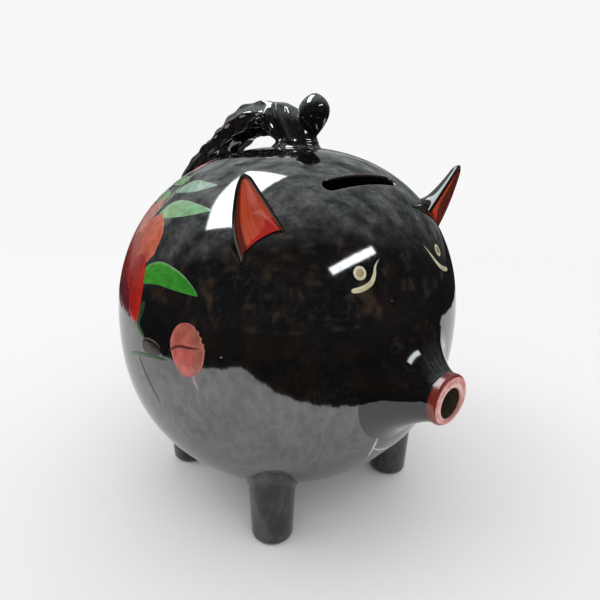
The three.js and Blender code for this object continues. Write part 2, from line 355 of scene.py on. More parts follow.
def black_glaze():
    """The glaze with dust and a veil of grain and upright dashes in its colour, and soot in its gloss."""
    finish = Finish("black_glaze", IOR=GLAZE_INDEX)
    glaze, polish, ripple = glaze_surface(finish)
    place = finish.place()
    grain = finish.noise(place, 620.0, 3.0, 0.7)
    patchy = finish.noise(place, 34.0, 3.0, 0.6)
    dashes = finish.noise(finish.stretched(place, (1.0, 1.0, 0.16)), 520.0, 2.0, 0.5).step(0.66, 0.76)
    veil = grain.step(0.44, 0.80) * patchy.step(0.35, 0.65) + dashes * patchy.step(0.45, 0.60) * 0.5
    dusty = finish.mix(dust_specks(finish, place) * 0.6, glaze, DUST)
    finish.colour(finish.mix(veil * 0.26, dusty, VEIL))
    soot = finish.noise(finish.stretched(place, (1.0, 1.0, 0.6)), 330.0, 4.0, 0.65).step(0.36, 0.66)
    cloud = finish.noise(place, 75.0, 3.0, 0.6).step(0.38, 0.66)
    finish.metal(soot * 0.20 + cloud * 0.14)
    finish.roughness(polish + veil * 0.04)
    finish.bump(ripple, BUMP_DEPTH, 0.35)
    return finish.material


BLACK_GLAZE = black_glaze()

# %% [markdown]
# ## The body shell
# The ball is one closed skin: the outside, the rim of the coin slot, the inside of the wall and
# the rim of the cork hole. One grid covers it. Its columns start at even steps round the slot and
# fan out until they are circles about the cork hole, then the same rows come back along the inside.
# A block of the grid is left open on both skins, and joined through the wall, for the snout's bore.

# %% Body grid
SLOT_HALF_LENGTH = 18.5 * MM
SLOT_HALF_WIDTH = 2.5 * MM
SLOT_LIP = 0.8 * MM
SLOT_FORWARD = 41.5 * MM
slot_tilt = np.arctan2(SLOT_FORWARD, top_at(0, SLOT_FORWARD))
SLOT_ARM = np.hypot(SLOT_FORWARD, top_at(0, SLOT_FORWARD))
cork_low, cork_high = (np.array(corner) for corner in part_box("belly_cork"))
CORK_HOLE = 15.3 * MM
CIRCLE_EXTRA = 10 * MM
BODY_COLUMNS = 288
SKIN_ROWS = 118
LIP_STEPS = 7
THROAT_ROWS = 5


def slot_outline(share, spread):
    """A stadium grown by spread, walked at even steps round its own rim: straight sides, round ends."""
    straight = SLOT_HALF_LENGTH - SLOT_HALF_WIDTH
    rim = 4 * straight + 2 * np.pi * SLOT_HALF_WIDTH
    quarter = np.pi * SLOT_HALF_WIDTH / 2
    walk = (share * rim) % rim
    folded = np.minimum(walk % (rim / 2), rim / 2 - walk % (rim / 2))
    on_end = folded < quarter
    turn = np.where(on_end, folded / SLOT_HALF_WIDTH, np.pi / 2)
    reach = np.where(on_end, straight, straight - (folded - quarter))
    x = reach + (SLOT_HALF_WIDTH + spread) * np.cos(turn)
    y = (SLOT_HALF_WIDTH + spread) * np.sin(turn)
    x = np.where((walk > rim / 4) & (walk < 3 * rim / 4), -x, x)
    y = np.where(walk > rim / 2, -y, y)
    return x, y


def body_ways(spread, columns):
    """Directions from the centre for one ring: a stadium near the slot that becomes a circle.
    The ring's own middle slides from the slot to the top of the ball as it grows."""
    share = np.arange(columns) / columns
    x, y = slot_outline(share[None, :], spread[:, None])
    round_off = smooth(spread, 1 * MM, 62 * MM)[:, None]
    turn = 2 * np.pi * share[None, :]
    circle = spread[:, None] + CIRCLE_EXTRA
    x = x + (circle * np.cos(turn) - x) * round_off
    y = y + (circle * np.sin(turn) - y) * round_off
    arm = np.hypot(x, y)
    angle = arm / SLOT_ARM
    tilt = slot_tilt * (1 - smooth(spread, 8 * MM, 150 * MM))[:, None]
    middle = np.stack([0 * tilt, -np.sin(tilt), np.cos(tilt)], -1)
    ahead = np.stack([0 * tilt, -np.cos(tilt), -np.sin(tilt)], -1)
    side = np.array([1.0, 0.0, 0.0])
    flat = (x / arm)[..., None] * side + (y / arm)[..., None] * ahead
    return middle * np.cos(angle)[..., None] + flat * np.sin(angle)[..., None]


def rings(ways, depth):
    """Rings of points where these directions leave the outline shrunk by depth."""
    return on_body(ways, -np.broadcast_to(np.asarray(depth, float), ways.shape[:2]))


cork_angle = np.pi - np.arctan2(CORK_HOLE, HALF_HEIGHT)
last_spread = cork_angle * SLOT_ARM - CIRCLE_EXTRA
steps = np.linspace(0, 1, SKIN_ROWS)
# Rows lie closer together near the slot, where the ring still has its tight ends.
spreads = SLOT_LIP + (last_spread - SLOT_LIP) * (0.22 * steps + 0.78 * steps**1.9)
skin_ways = body_ways(spreads, BODY_COLUMNS)
quarter_turn = np.linspace(0, np.pi / 2, LIP_STEPS)[:-1]
slot_lip_ways = body_ways(SLOT_LIP * (1 - np.cos(quarter_turn)), BODY_COLUMNS)
slot_lip_depth = SLOT_LIP * (1 - np.sin(quarter_turn))
outside = rings(skin_ways, 0.0)
inside = rings(skin_ways[::-1], WALL)
slot_lip = rings(slot_lip_ways, slot_lip_depth[:, None])
throat_steps = np.linspace(0.15, 0.85, THROAT_ROWS)
cork_throat = outside[-1] + (inside[0] - outside[-1]) * throat_steps[:, None, None]
slot_throat = inside[-1] + (slot_lip[0] - inside[-1]) * throat_steps[:, None, None]
body_points = np.vstack([slot_lip, outside, cork_throat, inside, slot_throat])
lip_rows = len(slot_lip)
print("body grid:", body_points.shape[0], "rows of", BODY_COLUMNS)

# %% Body shell
SNOUT_DROP = 8.3 * MM
BORE_BLOCK = 7.2 * MM


def open_block(points, quads, columns):
    """Leaves out one block of quads round the snout's axis, outside and inside, and joins the two
    openings through the wall with a band of quads."""
    outer = points[lip_rows:lip_rows + SKIN_ROWS] - CENTRE
    near = np.hypot(outer[..., 0], outer[..., 2] + SNOUT_DROP) < BORE_BLOCK
    near &= outer[..., 1] < 0
    rows_in = np.flatnonzero(near.any(1))
    columns_in = np.flatnonzero(near.any(0))
    r0, r1 = rows_in.min(), rows_in.max()
    c0, c1 = columns_in.min(), columns_in.max()
    index = np.arange(points.shape[0] * columns).reshape(-1, columns)
    out_index = index[lip_rows:lip_rows + SKIN_ROWS]
    in_start = lip_rows + SKIN_ROWS + THROAT_ROWS
    in_index = index[in_start:in_start + SKIN_ROWS][::-1]
    row_of, column_of = np.divmod(quads[:, 0], columns)
    block_columns = (column_of >= c0) & (column_of < c1)
    drop_out = (row_of >= lip_rows + r0) & (row_of < lip_rows + r1)
    in_end = in_start + SKIN_ROWS - 1
    drop_in = (row_of >= in_end - r1) & (row_of < in_end - r0)
    kept = quads[~(block_columns & (drop_out | drop_in))]

    def rim_of(grid):
        """Vertex numbers once round the block's edge."""
        block = grid[r0:r1 + 1, c0:c1 + 1]
        return np.concatenate([block[0, :-1], block[:-1, -1], block[-1, :0:-1], block[:0:-1, 0]])

    a, b = rim_of(out_index), rim_of(in_index)
    bridge = np.stack([a, b, np.roll(b, -1), np.roll(a, -1)], -1)
    return kept, bridge


body_index = np.arange(body_points.shape[0] * BODY_COLUMNS).reshape(-1, BODY_COLUMNS)
kept_quads, bridge_quads = open_block(body_points, grid_faces(body_index, True), BODY_COLUMNS)
# The glaze runs thin on the slot's rim and, more so, on the edge of the cork hole.
cork_rim = lip_rows + SKIN_ROWS
thin_rows = np.zeros(body_points.shape[0])
thin_rows[:lip_rows + 1] = 0.12
thin_rows[lip_rows - 2:lip_rows + 1] = 0.5
thin_rows[cork_rim - 1:cork_rim + 3] = 0.8
thin_rows[-1:] = 0.1
body_thin = np.broadcast_to(thin_rows[:, None], body_points.shape[:2])
shell = make_piece(
    "thrown_body", body_points, "bank", "black_glaze", BLACK_GLAZE,
    ring=True, quads=np.vstack([kept_quads, bridge_quads]), thin=body_thin,
)
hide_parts("body_shell")

# %% [markdown]
# ## The snout
# A spout pulled out of the ball: a flare that leaves the ball without an edge, a narrow neck and
# a rolled lip. It is turned as a profile of radius and reach, and its foot is bent to the ball.
# The potter painted the lip coral and left a darker band of the first coat behind it.

# %% Snout finish
CORAL = (0.50, 0.120, 0.100)
CORAL_PALE = (0.78, 0.46, 0.43)
CORAL_DEEP = (0.16, 0.018, 0.010)
OLIVE = (0.085, 0.080, 0.050)


def snout_finish():
    """Glaze, then the deep band, then the coral face with its paler rim, each with a brushed edge."""
    finish = Finish("snout_paint", IOR=1.75)
    glaze, polish, ripple = glaze_surface(finish)
    place = finish.place()
    brush = finish.noise(place, 160.0, 3.0, 0.6)
    face = finish.layer("face") + (brush - 0.5) * 0.28
    coral = finish.mix(brush.step(0.35, 0.7), CORAL, CORAL_PALE)
    coral = finish.mix(finish.layer("rim") + (brush - 0.5) * 0.3, coral, CORAL_PALE)
    banded = finish.mix(face.step(0.42, 0.62), CORAL_DEEP, coral)
    painted = (finish.layer("paint") + (brush - 0.5) * 0.15).step(0.42, 0.58)
    colour = finish.mix(painted, glaze, banded)
    bore = finish.mix(brush, OLIVE, WARM_INK)
    finish.colour(finish.mix(finish.layer("bore"), colour, bore))
    finish.roughness(polish + painted * 0.12)
    finish.bump(ripple + brush * 0.05 * painted, BUMP_DEPTH, 0.35)
    return finish.material


# %% Snout
SNOUT_REACH = -(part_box("snout")[0][1] - CENTRE[1])
LIP_RADIUS = 9.5 * MM
BORE_RADIUS = 5.6 * MM
LIP_ROUND = 1.7 * MM
NECK_RADIUS = 9.4 * MM
FLARE_RADIUS = 26 * MM
FLARE_CURVE = 0.75
SNOUT_SIDES = 144
SLEEVE_RADIUS = 6.5 * MM
BORE_SHIFT = np.array([1.0, 0.0, -1.7]) * MM


def arc(radius_at, reach_at, start, end, count):
    """A round stretch of the lip: its middle plus LIP_ROUND times (cosine, sine), angles in degrees."""
    turn = np.radians(np.linspace(start, end, count))
    return np.stack([radius_at + LIP_ROUND * np.cos(turn), reach_at + LIP_ROUND * np.sin(turn)], -1)


def snout_profile():
    """(radius, reach over the face of the ball), from the bore's inner end round the lip and down
    the flare, which is a quarter of an ellipse, and back under it."""
    reach = SNOUT_REACH - face_at(0, -SNOUT_DROP)
    lip = reach - LIP_ROUND
    bore = np.stack([np.full(24, BORE_RADIUS), np.linspace(-WALL, lip, 24)], -1)[:-1]
    roll_in = arc(BORE_RADIUS + LIP_ROUND, lip, 180, 90, 10)
    roll_out = arc(LIP_RADIUS - LIP_ROUND, lip, 90, 0, 14)
    turn = np.linspace(0.0, 1.0, 64)[1:] ** 1.3 * np.pi / 2
    sweep = np.stack([
        NECK_RADIUS + (FLARE_RADIUS - NECK_RADIUS) * (1 - np.cos(turn)) ** FLARE_CURVE,
        (lip - 1.6 * MM) * (1 - np.sin(turn)) - 0.12 * MM,
    ], -1)
    under = np.stack([np.linspace(FLARE_RADIUS, SLEEVE_RADIUS, 14), np.full(14, -0.35 * MM)], -1)
    sleeve = np.array([[SLEEVE_RADIUS, -WALL * 0.7], [SLEEVE_RADIUS, -WALL]])
    return np.vstack([bore, roll_in, roll_out, sweep, under, sleeve]), len(bore), len(roll_in), len(roll_out)


profile, bore_rows, in_rows, out_rows = snout_profile()
turn = 2 * np.pi * np.arange(SNOUT_SIDES) / SNOUT_SIDES
radius = profile[:, 0][:, None]
wobble = 1 + 0.012 * np.sin(2 * turn + 0.6) * smooth(radius, 5 * MM, 9 * MM)
snout_x = radius * wobble * np.cos(turn)
snout_z = radius * wobble * np.sin(turn) - SNOUT_DROP
bend = smooth(radius, 6 * MM, 20 * MM)
ball_face = face_at(0, -SNOUT_DROP) * (1 - bend) + face_at(snout_x, snout_z) * bend
snout_points = np.stack([snout_x, -(ball_face + profile[:, 1][:, None]), snout_z], -1) + CENTRE
row = np.arange(len(profile))
crown_row = bore_rows + in_rows
neck_row = crown_row + out_rows
# The mouth of the bore isn't quite in the middle of the lip.
off_centre = smooth(row, 6, bore_rows) * (1 - smooth(row, bore_rows, crown_row + 1))
snout_points = snout_points + off_centre[:, None, None] * BORE_SHIFT
paint_rows = smooth(row, bore_rows - 1, bore_rows + 2) * (1 - smooth(row, neck_row - 3, neck_row + 3))
face_rows = 1 - smooth(row, crown_row + 1, crown_row + 9)
rim_rows = smooth(row, bore_rows + 1, bore_rows + 3) * (1 - smooth(row, bore_rows + 5, bore_rows + 8))
bore_mask = 1 - smooth(row, bore_rows - 1, bore_rows + 2)
on_grid = np.ones((1, SNOUT_SIDES))
snout = make_piece(
    "snout_spout", snout_points, "bank", "snout_glaze", snout_finish(), ring=True,
    paint=paint_rows[:, None] * on_grid, face=face_rows[:, None] * on_grid,
    rim=rim_rows[:, None] * on_grid, bore=bore_mask[:, None] * on_grid, thin=0 * row[:, None] * on_grid,
)
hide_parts("snout")

# %% [markdown]
# ## The ears
# A pinched cone of clay, scooped out from the front so that its edge stands as a thin rim.
# The section is a curved strip with round edges. It narrows to the tip, and its back runs down
# into the ball in a hollow curve. The scoop is painted orange-red, streaked from top to bottom,
# with painted shade darkening its sides.

# %% Ear finish
EAR_RED = (0.50, 0.048, 0.020)
EAR_ORANGE = (0.58, 0.088, 0.030)
EAR_SHADE = (0.075, 0.012, 0.007)
EAR_BRIGHT = (0.46, 0.012, 0.004)


def ear_finish():
    """Glaze, and in the scoop a red streaked lengthwise, brighter low down and with painted shade at its
    sides.
    """
    finish = Finish("ear_paint", IOR=1.7)
    glaze, polish, ripple = glaze_surface(finish)
    brush_place = finish.layer("brush", "Vector")
    streak = finish.noise(finish.stretched(brush_place, (6.0, 1.0, 1.0)), 1.0, 2.5, 0.5)
    cloud = finish.noise(finish.stretched(brush_place, (2.2, 1.5, 1.0)), 1.6, 2.0)
    red = finish.mix(streak.step(0.35, 0.68), EAR_RED, EAR_ORANGE)
    red = finish.mix((cloud * 0.5 + finish.layer("low") * 0.8).step(0.62, 0.78), red, EAR_BRIGHT)
    # Painted shade: the red turns dark along the sides of the scoop, where the hollow would lie in shade.
    shade = (finish.layer("side") + (streak - 0.5) * 0.5).step(0.55, 1.0)
    red = finish.mix(shade * 0.9, red, EAR_SHADE)
    painted = (finish.layer("paint") + (streak - 0.5) * 0.18).step(0.42, 0.6)
    finish.colour(finish.mix(painted, glaze, red))
    finish.roughness(polish + painted * 0.16)
    finish.bump(ripple + streak * 0.10 * painted, BUMP_DEPTH, 0.4)
    return finish.material


EAR_FINISH = ear_finish()

# %% Ears
EAR_SIDE = 45.4 * MM
EAR_FORWARD = 41.3 * MM
EAR_SINK = 0.7 * MM
EAR_FOOT_WIDTH = 17.5 * MM
EAR_TIP_WIDTH = 3.4 * MM
EAR_BULGE = 2.4 * MM
EAR_DEPTH = 9.5 * MM
EAR_TIP_DEPTH = 2.4 * MM
EAR_RISE = np.array([9.5, -3.9, 22.2]) * MM
EAR_SLANT = np.array([14.3, 5.4, -9.3])
EAR_CLOSING = 0.86
EAR_END = 1.0005
EAR_RIM = 0.72 * MM
THINNEST = 0.02 * MM


def strip_section(count, cap):
    """A curved strip walked once round: (angle along the arc, side of the strip, reach past its end)."""
    along = np.linspace(0, np.pi, count)
    round_end = np.linspace(0, np.pi, cap + 2)[1:-1]
    angle = np.concatenate([along, np.full(cap, np.pi), along[::-1], np.zeros(cap)])
    side = np.concatenate([np.ones(count), np.cos(round_end), -np.ones(count), -np.cos(round_end)])
    reach = np.concatenate([np.zeros(count), np.sin(round_end), np.zeros(count), -np.sin(round_end)])
    return angle, side, reach


def ear(name, node, hand):
    """Rows from under the glaze to the tip: half width and depth shrink, and past EAR_CLOSING they
    close like the end of an ellipse. Hand is 1 on the pig's left and -1 on its right."""
    slant = EAR_SLANT * [hand, 1, 1]
    across = slant / np.linalg.norm(slant)
    rise = EAR_RISE * [hand, 1, 1]
    back = np.cross(across, rise) * -hand
    back /= np.linalg.norm(back)
    foot = CENTRE + np.array([hand * EAR_SIDE, -EAR_FORWARD, top_at(EAR_SIDE, EAR_FORWARD) - EAR_SINK])
    tip_steps = np.sin(np.linspace(0.05, 1, 14) * np.pi / 2)
    tip_share = EAR_CLOSING + (1 - EAR_CLOSING) * tip_steps
    share = np.concatenate([np.linspace(-0.30, EAR_CLOSING, 72), tip_share])[:, None]
    past = np.maximum(share - EAR_CLOSING, 0) / (EAR_END - EAR_CLOSING)
    closing = np.sqrt(np.clip(1 - past**2, 0, 1))
    angle, side, reach = (part[None, :] for part in strip_section(64, 7))
    taper = (EAR_FOOT_WIDTH + (EAR_TIP_WIDTH - EAR_FOOT_WIDTH) * share) / 2
    outer = np.clip(np.cos(angle), 0, 1)
    bulge = EAR_BULGE * np.sin(np.pi * np.clip(share, 0, 1)) * outer
    width = (taper + bulge) * closing
    depth = (EAR_TIP_DEPTH + (EAR_DEPTH - EAR_TIP_DEPTH) * (1 - share) ** 1.5) * closing
    strip = np.minimum(EAR_RIM, 0.38 * np.minimum(taper * closing, depth))
    strip = np.maximum(strip, THINNEST)
    mid_width, mid_depth = width - strip, np.maximum(depth - strip, THINNEST)
    dish = 0.16 + 0.62 * smooth(share, 0.0, 0.42)
    inner = smooth(-side, 0.0, 0.9)
    scoop = 1 + (dish - 1) * inner
    u = mid_width * np.cos(angle) + strip * side * np.cos(angle)
    v = mid_depth * np.sin(angle) * scoop + strip * side * np.sin(angle) - strip * np.abs(reach)
    rows = foot + rise * share[..., None] + across * u[..., None] + back * v[..., None]
    gap = gap_to_body(rows)
    near_ball = np.exp(-np.maximum(gap, 0) / (1.8 * MM))
    flare = 2.4 * MM * near_ball * np.clip(side, 0, 1) * smooth(np.sin(angle), 0.1, 0.6)
    outwards = across * (np.cos(angle) * flare)[..., None] + back * (np.sin(angle) * flare)[..., None]
    rows = stay_outside(rows + outwards * smooth(share, -0.3, 0.1)[..., None], 1.2 * MM)
    front = smooth(-side, 0.55, 0.95) * np.ones_like(share)
    # edge marks the sides of the scoop, which the ear's finish darkens as painted shade.
    edge = smooth(np.cos(angle), 0.42, 0.86)
    edge = edge + 0.6 * smooth(-np.cos(angle), 0.5, 0.9) * smooth(share, 0.3, 0.45)
    paint = front * smooth(gap, 0.25 * MM, 0.8 * MM) * (1 - smooth(share, 0.90, 0.96))
    low = (1 - smooth(share, 0.12, 0.40)) * (0.5 - 0.5 * np.cos(angle)) + 1 - smooth(share, 0.04, 0.14)
    thin = np.clip(1 - np.abs(side), 0, 1) * 0.55 * np.ones_like(share)
    brush = np.stack([np.cos(angle) * np.ones_like(share) + hand * 3, share * np.ones_like(angle), 0 * u], -1)
    piece = make_piece(
        name, rows, "bank", "ear_glaze", EAR_FINISH,
        paint=paint, side=edge * front, low=low, brush=brush, thin=thin,
    )
    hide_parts(node)


ear("scooped_ear_left", "ear_left", 1)
ear("scooped_ear_right", "ear_right", -1)

# %% [markdown]
# ## The feet
# Four plain pegs of clay, pressed on and smoothed with a finger. They widen a little where they
# meet the ball, and their undersides are wiped clean of glaze before firing so that they don't
# stick to the kiln shelf. Each is turned as a profile and gets a slight wobble of its own.

# %% Feet
CLAY = (0.30, 0.115, 0.055)
CLAY_DARK = (0.20, 0.070, 0.034)
FOOT_GREY = (0.050, 0.052, 0.044)


def foot_finish():
    """Glaze worn to grey in blotches, and gritty bare clay where the underside was wiped."""
    finish = Finish("foot_glaze", IOR=1.55)
    glaze, polish, ripple = glaze_surface(finish)
    place = finish.place()
    grit = finish.noise(place, 900.0, 4.0, 0.7)
    bare = (finish.layer("bare") + (finish.noise(place, 220.0, 3.0) - 0.5) * 0.5).step(0.45, 0.55)
    clay = finish.mix(grit, CLAY_DARK, CLAY)
    blotch = finish.noise(finish.stretched(place, (1.0, 1.0, 0.45)), 190.0, 4.0, 0.65).step(0.38, 0.68)
    worn = finish.mix(blotch * 0.8, glaze, FOOT_GREY)
    finish.colour(finish.mix(bare, worn, clay))
    finish.roughness(polish + 0.10 + bare * 0.7)
    finish.bump(ripple + grit * 0.12 * bare, BUMP_DEPTH, 0.4)
    return finish.material


FOOT_FINISH = foot_finish()
FOOT_RADIUS = 8.7 * MM
FOOT_TOP_RADIUS = 10.4 * MM
FOOT_ROUND = 2.4 * MM
FOOT_SIDES = 96


def peg_foot(name, node, seed):
    """A profile of radius and height turned about the peg's axis, swelling close to the ball, with a
    faint groove below the swelling. The seed turns the wobble."""
    low, high = (np.array(corner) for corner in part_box(node))
    axis = (low + high) / 2
    top = CENTRE[2] - HALF_HEIGHT / 2
    turn = np.linspace(-np.pi / 2, 0, 12)
    flat = np.stack([np.linspace(0.4 * MM, FOOT_RADIUS - FOOT_ROUND, 8), np.zeros(8)], -1)[:-1]
    corner = np.stack([
        FOOT_RADIUS - FOOT_ROUND + FOOT_ROUND * np.cos(turn),
        FOOT_ROUND + FOOT_ROUND * np.sin(turn),
    ], -1)
    rise = np.linspace(0, 1, 60)[1:, None]
    shank = corner[-1] + ([FOOT_TOP_RADIUS, top] - corner[-1]) * rise
    peg = np.vstack([flat, corner, shank])
    angle = 2 * np.pi * np.arange(FOOT_SIDES) / FOOT_SIDES
    radius, height = peg[:, 0][:, None], peg[:, 1][:, None]
    wobble = 1 + 0.012 * np.sin(3 * angle + seed) * smooth(height, 0, 8 * MM)
    points = np.stack([
        axis[0] + radius * wobble * np.cos(angle),
        axis[1] + radius * wobble * np.sin(angle),
        height + 0 * angle,
    ], -1)
    gap = np.maximum(gap_to_body(points), 0)
    groove = np.exp(-((gap - 2.6 * MM) / (0.9 * MM)) ** 2)
    press = 0.9 * MM * np.exp(-gap / (1.6 * MM)) - 0.35 * MM * groove
    points[..., 0] += press * np.cos(angle)
    points[..., 1] += press * np.sin(angle)
    points = stay_outside(points, 1.5 * MM)
    glazed = smooth(radius + height, FOOT_RADIUS - 1.6 * MM, FOOT_RADIUS + 0.3 * MM)
    bare = (1 - glazed) * np.ones_like(angle)
    groove_edge = np.exp(-((gap - 2.2 * MM) / (0.7 * MM)) ** 2)
    thin = smooth(height, 3.4 * MM, 1.0 * MM) * 0.55 + 0.42 * groove_edge
    piece = make_piece(name, points, "bank", "black_glaze", FOOT_FINISH, bare=bare, thin=thin)
    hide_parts(node)


for seed, place_name in enumerate(("front_left", "front_right", "rear_left", "rear_right")):
    peg_foot(f"peg_foot_{place_name}", f"foot_{place_name}", 1.7 * seed)

# %% [markdown]
# ## The branch handle
# A rope of clay bent over like a gnarled branch: it climbs from the top of the ball, turns back
# and comes down at the tail end, where it splays into toes. The section is an oval carried along
# that path. Sharp ridges run along it with a slow twist, pinched into scallops, as pulled clay
# does under the fingers, and a curled scar sits on its right side.

# %% Branch path
HANDLE_SKEW = np.radians(16)
STRAP_TOP = 18.0 * MM
MIDDLE = HALF_HEIGHT + STRAP_TOP - 6.6 * MM
PATH_ROWS = 300
PATH_MM = np.array([
    (-2.7, -15.4), (-2.7, -12.0), (-2.6, -9.0), (-1.6, -6.2), (1.2, -3.4), (5.2, -1.4), (10.0, -0.3),
    (16.0, -0.3), (22.0, -2.0), (28.0, -5.2), (34.0, -9.3), (40.0, -14.0), (45.5, -19.0), (50.0, -24.0),
    (52.8, -28.4), (54.2, -33.0),
])


def smooth_path(knots, count):
    """An even walk along the knots, rounded by averaging each point with its neighbours."""
    arc_length = np.concatenate([[0], np.cumsum(np.hypot(*np.diff(knots, axis=0).T))])
    walk = np.linspace(0, arc_length[-1], count)
    line = np.stack([np.interp(walk, arc_length, knots[:, k]) for k in range(2)], -1)
    window = np.hanning(count // 14 * 2 + 1)
    window /= window.sum()
    half = len(window) // 2
    for k in range(2):
        before = 2 * line[0, k] - line[half:0:-1, k]
        after = 2 * line[-1, k] - line[-2:-half - 2:-1, k]
        line[:, k] = np.convolve(np.concatenate([before, line[:, k], after]), window, "valid")
    return line


def over_handle(along, across, height):
    """A place along, across and above the handle's own line, in the row frame."""
    return CENTRE + np.stack([
        -along * np.sin(HANDLE_SKEW) + across * np.cos(HANDLE_SKEW),
        along * np.cos(HANDLE_SKEW) + across * np.sin(HANDLE_SKEW),
        height,
    ], -1)


line = smooth_path(PATH_MM * MM + [0, MIDDLE], PATH_ROWS)
way = np.gradient(line, axis=0)
way /= np.linalg.norm(way, axis=1, keepdims=True)
share = np.linspace(0, 1, PATH_ROWS)[:, None]
print("branch path (mm):", round(np.hypot(*np.diff(line, axis=0).T).sum() / MM, 1))

# %% [markdown]
# The oval's two half sizes change in straight runs between a few knots along the path. What stands
# up from it is added in millimetres: the ridges, a slight knobbliness, and the toes of the root.

# %% Branch section
BRANCH_SIDES = 176
# Knobs and scallops are counted along a nominal length, a little more than the path's own.
NOMINAL_LENGTH = 92 * MM
SCALLOP_STEP = 9.5 * MM
turn = (2 * np.pi * np.arange(BRANCH_SIDES) / BRANCH_SIDES)[None, :]


def knots_at(shares, values):
    """Straight runs between (share, value) knots."""
    return np.interp(share[:, 0], shares, values)[:, None]


KNOT_SHARES = [0, 0.10, 0.2, 0.30, 0.45, 0.66, 0.80, 0.92, 1]
half_deep = knots_at(KNOT_SHARES, [10.6, 9.5, 8.0, 7.3, 7.2, 6.9, 5.8, 5.0, 3.6]) * MM
half_wide = knots_at(KNOT_SHARES, [8.6, 7.7, 7.4, 7.6, 7.9, 8.6, 11.0, 12.4, 12.2]) * MM
run = share * NOMINAL_LENGTH
on_column = 1 - smooth(share, 0.14, 0.34)
on_root = smooth(share, 0.72, 0.90)
twist = np.radians(14) * (1 - smooth(share, 0.10, 0.42) - smooth(share, 0.45, 0.9))
RIDGES = [
    # angle round the branch in degrees, height in mm, half width in degrees, start of its scallops
    (26, 0.8, 13, 4.0), (68, 0.9, 14, 0.4), (112, 1.3, 12, 1.0), (160, 1.5, 12, 2.4),
    (207, 1.2, 12, 4.4), (252, 0.7, 14, 0.4), (300, 0.8, 14, 1.4), (342, 0.9, 13, 2.5),
]
ridge = 0 * turn * share
for angle_0, rise, spread, phase in RIDGES:
    here = np.radians(angle_0) + twist
    apart = (turn - here + np.pi) % (2 * np.pi) - np.pi
    crest = 1 / (1 + (apart / np.radians(spread)) ** 2) ** 2
    scallop = 0.70 + 0.30 * np.sin(2 * np.pi * run / SCALLOP_STEP + phase)
    facing_front = smooth(np.cos(here - np.pi / 2), -0.75, -0.1)
    ridge = ridge + crest * rise * scallop * (1 - 0.9 * on_column * facing_front)
knob = 0.30 * np.sin(run / (4.4 * MM) + 2 * np.cos(turn + 0.7)) * (1 - on_column)
place_across = half_wide / MM * np.cos(turn)
toes = np.abs(np.cos(np.pi * place_across / 5.4)) ** 0.6 * smooth(np.sin(turn), -0.5, 0.1) * on_root
swell = (ridge * (1 - 0.8 * on_root) + knob * (1 - on_root) + toes * 1.6 - 0.75) * MM
across = (half_wide + swell) * np.cos(turn)
lift = (half_deep + swell) * np.sin(turn)
along = line[:, :1] - way[:, 1:] * lift
height = line[:, 1:] + way[:, :1] * lift

# %% [markdown]
# On the branch's right side a curled scar stands up round a hollow, and two folds run down the
# column in front of it. Both are drawn on the side view of the branch, in millimetres along and up.
# Where the column meets the ball its foot swells, like a press of soft clay.

# %% Branch scar and foot
CURL_ALONG = 12.6
CURL_HEIGHT = -6.0
CURL_RADIUS = 5.2
curl_along = along / MM - CURL_ALONG
curl_height = (height - MIDDLE) / MM - CURL_HEIGHT
curl_turn = np.degrees(np.arctan2(curl_height, curl_along))
from_arc = np.hypot(curl_along, curl_height) - CURL_RADIUS
arc_part = smooth(curl_turn, -38, -12) * (1 - smooth(curl_turn, 100, 128))
hollow_part = smooth(curl_turn, -60, -20) * (1 - smooth(curl_turn, 110, 140))
right_side = smooth(-np.cos(turn), 0.25, 0.6) * (share > 0.25)
curl = np.exp(-(from_arc / 0.50) ** 2) * arc_part * 1.5
hollow = smooth(-from_arc, 0.4, 2.2) * hollow_part * 1.3
# Each fold's upper and lower end: along the branch's line and up from its middle, in mm.
FOLDS = [((4.8, 5.2), (-4.6, -10.4)), ((8.6, 1.6), (1.9, -11.0))]
folds = 0 * curl
for fold_top, fold_low in FOLDS:
    fold_way = np.subtract(fold_low, fold_top)
    fold_length = np.hypot(*fold_way)
    fold_way = fold_way / fold_length
    from_top = (along / MM - fold_top[0], (height - MIDDLE) / MM - fold_top[1])
    down = from_top[0] * fold_way[0] + from_top[1] * fold_way[1]
    aside = from_top[0] * fold_way[1] - from_top[1] * fold_way[0]
    taper = smooth(down, -3.0, 1.5) * (1 - smooth(down, fold_length - 2.5, fold_length + 1))
    crest, groove = np.exp(-(aside / 0.75) ** 2), np.exp(-((aside - 1.9) / 1.0) ** 2)
    folds = folds + taper * (1.2 * crest - 0.8 * groove)
flank = smooth(-np.cos(turn), 0.05, 0.5)
across = across - ((curl - hollow) * right_side + folds * flank) * MM
branch_points = over_handle(along, across, height)
branch_gap = gap_to_body(branch_points)
at_foot = 1 - smooth(share, 0.08, 0.16)
fillet = 1.3 * MM * np.exp(-np.maximum(branch_gap, 0) / (1.2 * MM)) * at_foot
band = np.exp(-((branch_gap - 2.3 * MM) / (0.5 * MM)) ** 2) * at_foot
push = fillet + 0.22 * MM * band
along = along - way[:, 1:] * push * np.sin(turn)
across = across + push * np.cos(turn)
branch_points = stay_outside(over_handle(along, across, height), 1.5 * MM)
branch_thin = smooth(ridge, 0.55, 1.3) * 0.55 + curl * right_side * 0.25 + 0.25 * band
branch = make_piece(
    "branch_arch", branch_points, "bank", "black_glaze", BLACK_GLAZE, thin=np.clip(branch_thin, 0, 0.6),
)
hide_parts("handle_branch")

# %% [markdown]
# ## The bud
# A pear-shaped knob stands at the front end of the branch, fuller above than below. Its radius
# follows a sine from pole to pole, raised to a power that draws its lower end in to a neck.

